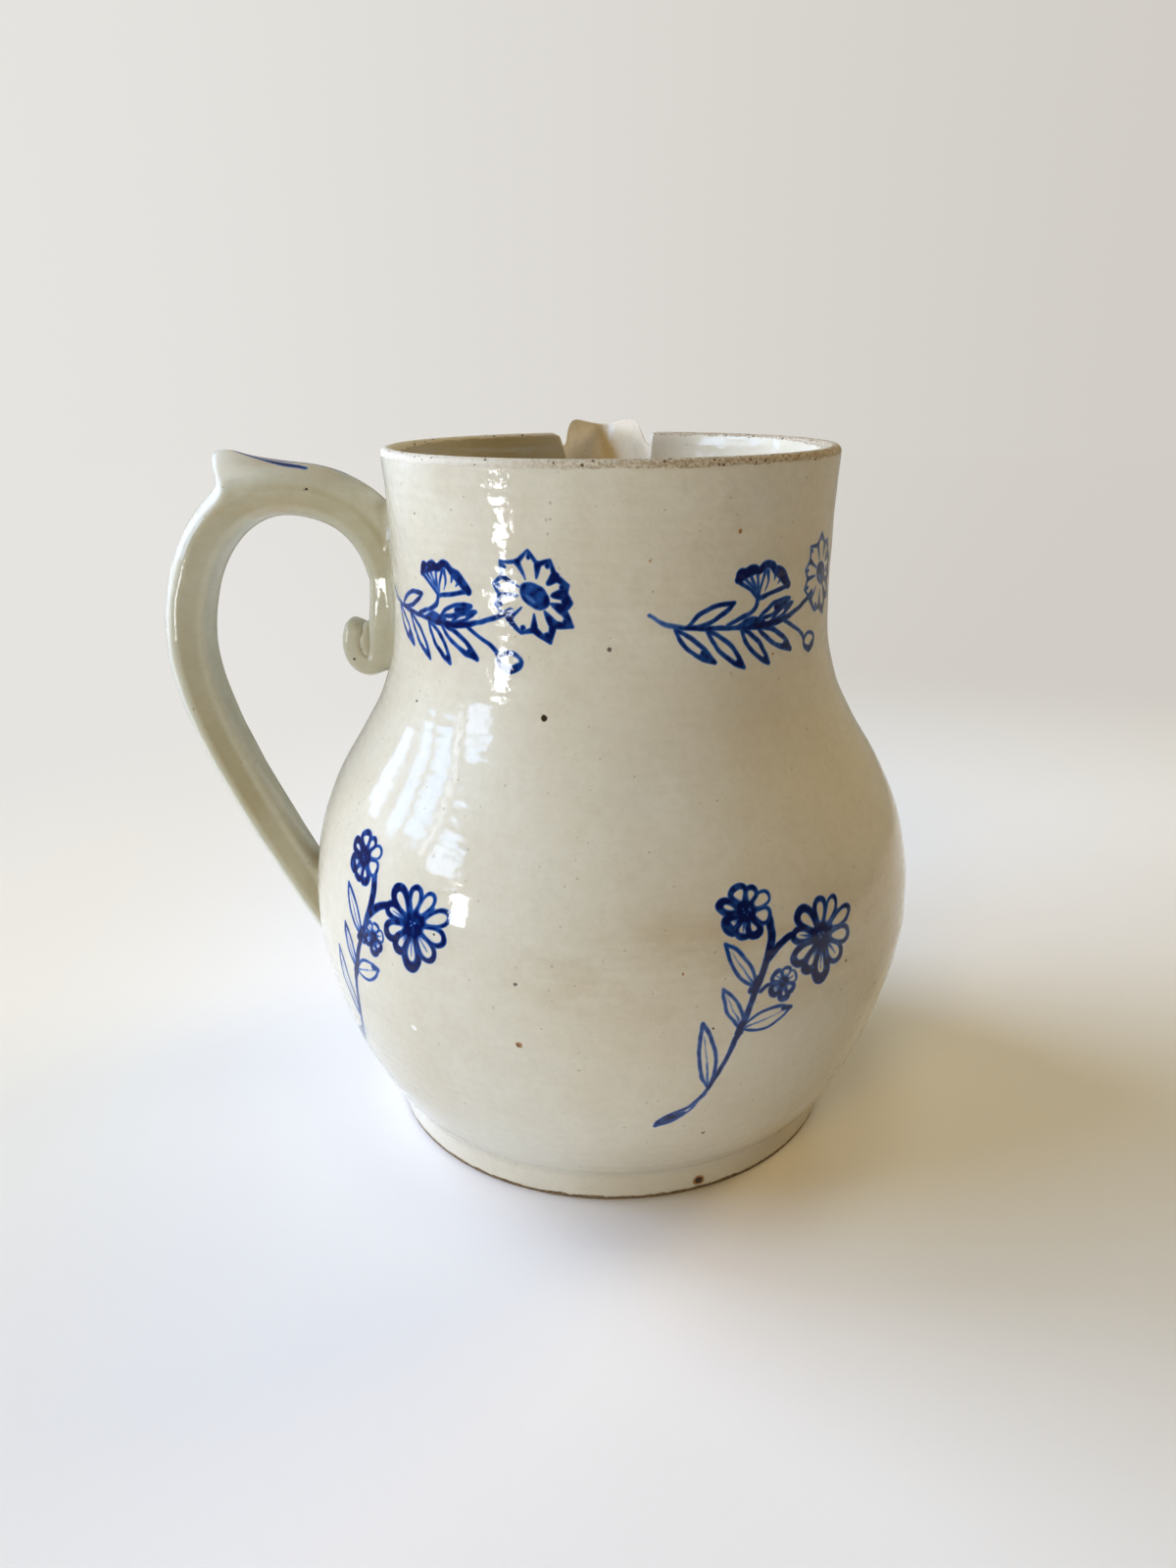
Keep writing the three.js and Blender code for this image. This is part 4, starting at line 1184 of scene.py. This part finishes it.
PALE_GLAZE = srgb(215, 211, 196)
WARM_GLAZE = srgb(203, 193, 170)
STRAP_PALE = srgb(196, 195, 178)
STRAP_WARM = srgb(184, 178, 153)
STAIN = srgb(182, 160, 124)
# Olive: thin glaze with painted shade on the strap's flanks, and painted shade inside the neck
OLIVE_THIN_GLAZE_AND_SHADE = srgb(166, 155, 122)
# Painted highlight on the strap's crown
CROWN_PAINTED_HIGHLIGHT = srgb(234, 232, 220)
# Painted light: the white on the right of the inside of the neck
INSIDE_PAINTED_LIGHT = srgb(236, 232, 210)
SPOUT_PALE = srgb(217, 207, 186)
SPOUT_WARM = srgb(204, 190, 164)
INK_WASH = srgb(86, 124, 180)
INK_MID = srgb(22, 62, 128)
INK_LINE = srgb(1, 15, 70)
CLAY_TOASTED = srgb(150, 128, 92)
CLAY_PALE = srgb(206, 198, 180)
CLAY_DARK = srgb(98, 76, 50)

IRON = srgb(52, 38, 26)
RUST = srgb(158, 114, 66)
BLISTER = srgb(236, 232, 222)
SPECK_FINE = srgb(120, 96, 70)
SPECK_COARSE = srgb(70, 50, 34)
# Dark olive colour for the spots where the strap meets the neck
JOIN_DARK_SPOT = srgb(112, 100, 68)
VESSEL_SPOTS = (
    ((-14.0, -54.3, 121.6), 0.75, IRON), ((27.5, -46.9, 160.0), 0.5, RUST), ((-19.7, -75.4, 53.9), 0.8, RUST),
    ((-19.9, -75.3, 53.7), 0.4, IRON), ((-44.8, -63.2, 50.6), 0.9, BLISTER), ((-44.2, -63.6, 49.4), 0.45, RUST),
    ((22.0, -55.3, 3.3), 1.5, RUST), ((22.0, -55.3, 3.3), 0.95, IRON), ((-43.0, -33.2, 162.4), 0.35, IRON),
    ((-44.5, -35.0, 120.2), 0.35, IRON), ((15.5, -76.3, 71.9), 0.3, RUST), ((22.4, -75.2, 58.1), 0.3, IRON),
    ((-38.2, -66.9, 76.3), 0.3, IRON), ((-46.7, -62.6, 69.2), 0.3, IRON), ((36.4, -40.3, 132.3), 0.3, RUST),
    ((8.5, -53.6, 154.8), 0.3, RUST), ((61.0, 20.0, 96.0), 0.6, IRON), ((10.0, 74.0, 82.0), 0.7, RUST),
    ((-50.0, 56.0, 88.0), 0.5, IRON), ((49.0, 24.0, 128.0), 0.4, RUST),
)
STRAP_SPOTS = (
    ((-108.0, -6.0, 135.0), 0.36, IRON), ((-106.6, -8.0, 129.4), 0.34, IRON), ((-72.7, -8.0, 165.5), 0.34, IRON),
    ((-82.5, -8.0, 162.3), 0.26, RUST), ((-106.4, -8.0, 110.8), 0.26, IRON), ((-64.6, -6.0, 123.3), 0.3, IRON),
    ((-83.0, -4.6, 58.6), 1.9, RUST), ((-83.0, -4.6, 58.6), 1.25, IRON),
    # two dark olive spots where the strap meets the neck
    ((-55.8, -9.2, 160.6), 1.7, JOIN_DARK_SPOT), ((-55.6, -9.3, 157.6), 1.4, JOIN_DARK_SPOT),
)
MOUTH_RADII = (0.0536, 0.0528)


def glaze_material(name, pale, warm, stain_share, stain_height, bands, rings, spots=()):
    """Glossy glaze over stoneware: clouded colour, iron specks and a wavy skin. A piece's thin value
    makes it olive, thin glaze with painted shade, its crown value white, a painted highlight, and its
    ink value blue. With bands, which only the vessel has, the stain fades to the left, the inside of
    the neck has painted shade, olive, on the left and painted light, white, on the right, and the rim
    and the foot's edge show bare clay."""
    material = bpy.data.materials.new(name)
    tree = emptied(material)
    place = add(tree, "TexCoord").outputs["Object"]

    def specks(cells, size, share):
        """The mask of one kind of specks."""
        return placed(tree, SPECKS, {"Vector": place, "Cells per metre": cells, "Size": size, "Share": share})["Mask"]

    if bands:
        part = axes(tree, place)
        stain_share = between(tree, part[0], -0.03, 0.01, 0.25 * stain_share, stain_share)
    tone = placed(tree, TONE, {"Vector": place, "Pale": pale, "Warm": warm, "Stain": STAIN,
                               "Stain share": stain_share, "Stain height": stain_height})["Color"]
    streak = between(tree, noise(tree, place, 45.0, 5.0, 0.6), 0.3, 0.7, 0.3, 0.8)
    coarse = specks(95.0, 0.05, 0.2)
    for share, colour in (
        # olive flanks: thin glaze with painted shade
        (times(tree, carried(tree, "thin"), streak), OLIVE_THIN_GLAZE_AND_SHADE),
        # white crown: a painted highlight
        (times(tree, carried(tree, "crown"), 0.6), CROWN_PAINTED_HIGHLIGHT),
        (times(tree, specks(380.0, 0.13, 0.5), 0.35), SPECK_FINE),
        (times(tree, coarse, 0.85), SPECK_COARSE),
    ):
        tone = mixed(tree, share, tone, colour)

    for centre, size, colour in spots:
        mask = placed(tree, SPOT, {"Vector": place, "Centre": [v * MM for v in centre], "Size": size * MM})["Mask"]
        tone = mixed(tree, mask, tone, colour)

    ink = carried(tree, "ink")
    pool = times(tree, minus(tree, noise(tree, place, 620.0, 3.0), 0.5), 0.5)
    ink = plus(tree, ink, times(tree, pool, between(tree, ink, 0.05, 0.4)))
    blue = mixed(tree, between(tree, ink, 0.1, 0.62), INK_WASH, INK_MID)
    blue = mixed(tree, between(tree, ink, 0.6, 0.95), blue, INK_LINE)
    tone = mixed(tree, between(tree, ink, 0.02, 0.34), tone, blue)

    skin = placed(tree, SKIN, {"Vector": place, "Ripple": 0.00015, "Peel": 0.000028, "Rings": rings})["Height"]
    rough = between(tree, noise(tree, place, 60.0, 3.0), 0.3, 0.8, 0.03, 0.075)
    height = minus(tree, skin, times(tree, coarse, 0.00006))
    if bands:
        flat = vector(tree, "MULTIPLY", {0: place, 1: (1.0, 1.0, 0.0)})[0]
        radius = vector(tree, "LENGTH", {0: flat})["Value"]
        # Painted shade, olive, on the left of the inside of the neck and painted light, white, on its right
        inside = times(tree, between(tree, radius, *MOUTH_RADII), between(tree, part[2], 0.12, 0.14))
        left = times(tree, inside, between(tree, part[0], 0.01, -0.03, 0.0, 0.75))
        right = times(tree, inside, between(tree, part[0], 0.01, 0.03, 0.0, 0.5))
        tone = mixed(tree, left, tone, OLIVE_THIN_GLAZE_AND_SHADE)
        tone = mixed(tree, right, tone, INSIDE_PAINTED_LIGHT)
        bare = placed(tree, BARE, {"Vector": place, "Foot to": 0.0013})
        clay = mixed(tree, between(tree, bare["Grain"], 0.35, 0.65), CLAY_PALE, CLAY_TOASTED)
        clay = mixed(tree, between(tree, part[0], 0.02, -0.05), clay, CLAY_PALE)
        foot_clay = mixed(tree, between(tree, bare["Grain"], 0.3, 0.6), CLAY_TOASTED, CLAY_DARK)
        clay = mixed(tree, between(tree, part[2], 0.02, 0.01), clay, foot_clay)
        pits = specks(900.0, 0.36, 0.25)
        clay = mixed(tree, pits, clay, CLAY_DARK)
        tone = mixed(tree, bare["Mask"], tone, clay)
        rough = plus(tree, rough, times(tree, bare["Mask"], 0.6))
        grit = times(tree, minus(tree, bare["Grain"], pits), 0.00012)
        height = plus(tree, height, times(tree, grit, bare["Mask"]))
    bump = add(tree, "Bump", {"Height": height, "Strength": 1.0, "Distance": 1.0})
    shader = add(tree, "BsdfPrincipled", {
        "Base Color": tone, "Roughness": rough, "IOR": 1.5, "Normal": bump.outputs[0],
        "Specular IOR Level": 0.5,
    })
    add(tree, "OutputMaterial", {"Surface": shader.outputs[0]})
    return material


# The pitcher

body_glaze = glaze_material("body_glaze", PALE_GLAZE, WARM_GLAZE, 0.5, 0.073, True, 0.000012, VESSEL_SPOTS)
handle_glaze = glaze_material("handle_glaze", STRAP_PALE, STRAP_WARM, 0.6, 0.167, False, 0.0, STRAP_SPOTS)
spout_glaze = glaze_material("spout_glaze", SPOUT_PALE, SPOUT_WARM, 0.0, 0.073, False, 0.0)

body = vessel()
body.data.materials.append(body_glaze)
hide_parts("body")

beak = spout()
beak.data.materials.append(spout_glaze)
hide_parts("spout")

strap = handle()
strap.data.materials.append(handle_glaze)
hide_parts("handle")

core = scroll_core()
core.data.materials.append(handle_glaze)

# Sprigs: bearing from the front in degrees, height of the anchor, and tilt in degrees
NECK_SPRIGS = ((-45.6, 139.0, 0.0), (35.2, 139.0, 0.0), (116.0, 139.2, 0.5), (-135.5, 138.8, -0.5))
BELLY_SPRIGS = ((-49.6, 58.8, 3.0), (21.3, 56.5, 0.0), (93.5, 57.4, 1.5), (165.0, 56.8, -1.0), (-123.5, 58.0, 1.0))
NECK_SHEET = (-27.5, 39.0, -11.0, 20.0)
BELLY_SHEET = (-19.0, 33.5, -30.0, 35.0)
for number, place in enumerate(NECK_SPRIGS, 1):
    sprig("neck_sprig_%d" % number, neck_sprig, NECK_SHEET, *place, 20 + number)
for number, place in enumerate(BELLY_SPRIGS, 1):
    shift = 1.0 if number == 1 else 0.0
    sprig("belly_sprig_%d" % number, lambda ink, u, v: belly_sprig(ink, u, v, shift), BELLY_SHEET,
          *place, 40 + number)


# Camera

CAMERA_BACK = 0.2975
CAMERA_HEIGHT = 0.192
CAMERA_PITCH = 19.41
CAMERA_YAW = -1.15
CAMERA_ROLL = -0.42
FOCAL_PIXELS = 1202.0
IMAGE_LONG_SIDE = 1600.0

camera_data = bpy.data.cameras.new("photo_camera")
camera_data.sensor_fit = "AUTO"
camera_data.sensor_width = 36.0
camera_data.lens = 36.0 * FOCAL_PIXELS / IMAGE_LONG_SIDE
camera_data.clip_start = 0.01
camera = bpy.data.objects.new("photo_camera", camera_data)
bpy.context.scene.collection.objects.link(camera)
camera.location = (0.0, -CAMERA_BACK, CAMERA_HEIGHT)
camera.rotation_mode = "XYZ"
pitch, yaw, roll = (math.radians(v) for v in (CAMERA_PITCH, CAMERA_YAW, CAMERA_ROLL))
forward = np.array([math.sin(yaw) * math.cos(pitch), math.cos(yaw) * math.cos(pitch), -math.sin(pitch)])
level = np.array([math.cos(yaw), -math.sin(yaw), 0.0])
upward = np.cross(level, forward)
side = level * math.cos(roll) + upward * math.sin(roll)
top = -level * math.sin(roll) + upward * math.cos(roll)
camera.rotation_euler = Matrix(np.stack([side, top, -forward], 1).tolist()).to_euler("XYZ")
bpy.context.scene.camera = camera


# Floor, backdrop and lamps

GROUND_RADIUS = 2600.0
GROUND_DROP = 0.02
FLOOR_COLOUR = (0.80, 0.787, 0.768, 1.0)
FLOOR_FADE = (0.2, 0.5)
FLOOR_FADE_CENTRE = 0.1
# Painted shade on the floor's left
FLOOR_LEFT_PAINTED_SHADE = (0.9, 0.83, 0.67, 1.0)
ROOM_FILL = (0.03, 0.022, 0.012, 1.0)
MIRROR_FRONT = (0.07, 0.06, 0.045, 1.0)
MIRROR_BACK = (0.30, 0.28, 0.24, 1.0)
BACKGROUND_LEFT = srgb(230, 228, 224)
# The darker right side of the backdrop is painted shade
BACKGROUND_RIGHT = srgb(209, 205, 198)


def floor_disc():
    """A floor disc just under the foot, its rings closer together near the middle."""
    rings, columns = 24, 96
    radius = np.linspace(0.0, 1.0, rings + 1)[1:] ** 1.5 * GROUND_RADIUS
    turn = 2 * np.pi * np.arange(columns) / columns
    points = np.stack([
        np.outer(radius, np.cos(turn)), np.outer(radius, np.sin(turn)), np.full((rings, columns), -GROUND_DROP),
    ], -1).reshape(-1, 3)
    points = np.vstack([points, [[0, 0, -GROUND_DROP]]])
    caps = fan(len(points) - 1, np.arange(columns))
    return piece("floor", points, grid_quads(rings, columns)[:, ::-1], caps, closed=False, rides=False)


def floor_material():
    """Smooth pale board, with painted shade that makes it dimmer and warmer on the left. Far from the
    pitcher, camera rays see the backdrop's colour on it instead, so that no horizon shows, and mirror
    rays see the room; near the pitcher it keeps the shadow."""
    material = bpy.data.materials.new("pale_board")
    tree = emptied(material)
    place = add(tree, "TexCoord").outputs["Object"]
    mottle = between(tree, noise(tree, place, 9.0, 3.0), 0.3, 0.7, 0.985, 1.0)
    colour = mixed(tree, 1.0, FLOOR_COLOUR, mottle, "MULTIPLY")
    across = axes(tree, place)[0]
    # Painted shade: the board dimmer and warmer towards the left, and darker again farther left
    painted_left_shade = mixed(tree, between(tree, across, -0.24, -0.03), FLOOR_LEFT_PAINTED_SHADE, (1.0, 1.0, 1.0, 1.0))
    colour = mixed(tree, 1.0, colour, painted_left_shade, "MULTIPLY")
    colour = mixed(tree, 1.0, colour, between(tree, across, -0.55, -0.28, 0.55, 1.0), "MULTIPLY")
    board = add(tree, "BsdfPrincipled", {"Base Color": colour, "Roughness": 0.6})
    moved = vector(tree, "ADD", {0: place, 1: (-FLOOR_FADE_CENTRE, 0.0, 0.0)})[0]
    away = vector(tree, "LENGTH", {0: moved})["Value"]
    direction = vector(tree, "NORMALIZE", {0: place})[0]
    rays = add(tree, "LightPath")
    seen = mixed(tree, rays.outputs["Is Glossy Ray"], backdrop_colour(tree, direction),
                 mirrored_colour(tree, direction))
    far = add(tree, "Emission", {"Color": seen, "Strength": 1.0})
    direct = maths(tree, "MAXIMUM", rays.outputs["Is Camera Ray"], rays.outputs["Is Glossy Ray"])
    share = times(tree, between(tree, away, *FLOOR_FADE), direct)
    both = add(tree, "MixShader", {0: share, 1: board.outputs[0], 2: far.outputs[0]})
    add(tree, "OutputMaterial", {"Surface": both.outputs[0]})
    return material


def backdrop_colour(tree, direction):
    """The backdrop's colour, lighter on the left and darker on the right with painted shade."""
    return mixed(tree, between(tree, axes(tree, direction)[0], -0.5, 0.5), BACKGROUND_LEFT, BACKGROUND_RIGHT)


def mirrored_colour(tree, direction):
    """What the glaze mirrors: a dim room in front and the lit backdrop behind."""
    return mixed(tree, between(tree, axes(tree, direction)[1], -0.35, 0.45), MIRROR_FRONT, MIRROR_BACK)


def backdrop_world():
    """A little warm fill. Camera rays see the pale backdrop's colour and mirror rays the room."""
    world = bpy.data.worlds.new("soft_room")
    tree = emptied(world)
    direction = add(tree, "TexCoord").outputs["Generated"]
    rays = add(tree, "LightPath")
    direct = maths(tree, "MAXIMUM", rays.outputs["Is Camera Ray"], rays.outputs["Is Transmission Ray"])
    colour = mixed(tree, rays.outputs["Is Glossy Ray"], ROOM_FILL, mirrored_colour(tree, direction))
    colour = mixed(tree, direct, colour, backdrop_colour(tree, direction))
    add(tree, "OutputWorld", {0: add(tree, "Background", {"Color": colour, "Strength": 1.0}).outputs[0]})
    bpy.context.scene.world = world


def lamp(name, place, target, size, power, colour):
    """A rectangular soft lamp at a place in metres, facing a target, with its size upright."""
    data = bpy.data.lights.new(name, "AREA")
    data.shape = "RECTANGLE"
    data.size, data.size_y = size
    data.energy = power
    data.color = colour
    thing = bpy.data.objects.new(name, data)
    bpy.context.scene.collection.objects.link(thing)
    back = unit(np.subtract(place, target))
    across = unit(np.cross([0, 0, 1.0], back))
    turn = Matrix(np.stack([across, np.cross(back, across), back], 1).tolist())
    thing.matrix_world = Matrix.Translation(place) @ turn.to_4x4()
    return thing


ground = floor_disc()
ground.data.materials.append(floor_material())
backdrop_world()

# Soft lamps that light the scene but aren't mirrored: place, target, size, power, colour
SOFT_LAMPS = {
    "window_low": ((-0.9, 0.35, 0.38), (0.0, 0.35, 0.38), (0.65, 0.35), 12.3, (0.71, 0.77, 1.0)),
    "window_high": ((-0.9, 0.4, 1.1), (0.0, 0.4, 1.1), (0.7, 0.4), 12.8, (0.65, 0.80, 1.0)),
    "window_front": ((-0.9, -0.3, 0.72), (0.0, -0.3, 0.72), (0.5, 0.35), 8.0, (0.49, 0.68, 1.0)),
    "front_panel": ((-0.35, -1.0, 0.9), (0.0, 0.0, 0.1), (0.4, 0.4), 3.9, (1.0, 0.6, 0.1)),
    "low_front_panel": ((-0.45, -0.75, 0.12), (0.0, 0.0, 0.1), (0.3, 0.2), 2.4, (0.75, 0.89, 1.0)),
    "top_panel": ((0.001, 0.0, 1.4), (0.0, 0.0, 0.0), (0.4, 0.4), 1.9, (0.98, 1.0, 0.85)),
    "right_panel": ((0.9, 0.5, 0.6), (0.0, 0.0, 0.1), (0.4, 0.4), 5.2, (1.0, 0.77, 0.42)),
    "back_panel": ((0.5, 1.0, 0.6), (0.0, 0.0, 0.1), (0.4, 0.4), 1.7, (0.65, 0.94, 1.0)),
}
for name, values in SOFT_LAMPS.items():
    lamp(name, *values).visible_glossy = False

# Window panes that only the glaze mirrors: nearest and farthest y, lowest and highest z, and glow
PANE_X = -0.89
MIRRORED_PANES = {
    "pane_back": ((0.24, 0.40), (0.25, 0.95), (2.0, 3.0, 4.9)),
    "pane_middle": ((0.02, 0.125), (0.27, 0.95), (2.0, 3.4, 5.9)),
    "pane_front": ((-0.17, -0.03), (0.33, 0.95), (2.2, 3.9, 6.6)),
    "pane_edge": ((-0.24, -0.205), (0.285, 0.95), (3.6, 4.2, 5.2)),
    "pane_small": ((-0.55, -0.30), (0.27, 0.46), (4.2, 5.4, 7.8)),
    "pane_top": ((-0.55, -0.31), (0.478, 0.60), (3.4, 5.0, 7.8)),
}
for name, (wide, tall, glow) in MIRRORED_PANES.items():
    size = (wide[1] - wide[0], tall[1] - tall[0])
    middle = (PANE_X, (wide[0] + wide[1]) / 2, (tall[0] + tall[1]) / 2)
    power = max(glow) * math.pi * size[0] * size[1]
    pane = lamp(name, middle, (0.0, *middle[1:]), size, power, [v / max(glow) for v in glow])
    pane.visible_diffuse = False

# A small bright pane: the streak on the neck, the strap's edge light and the glint at the left flower
glint = lamp("low_glint", (-0.408, -0.319, 0.103), (-0.03, -0.05, 0.14), (0.06, 0.1), 0.43, (0.92, 0.96, 1.0))
glint.visible_diffuse = False

bpy.context.scene.view_settings.view_transform = "Standard"
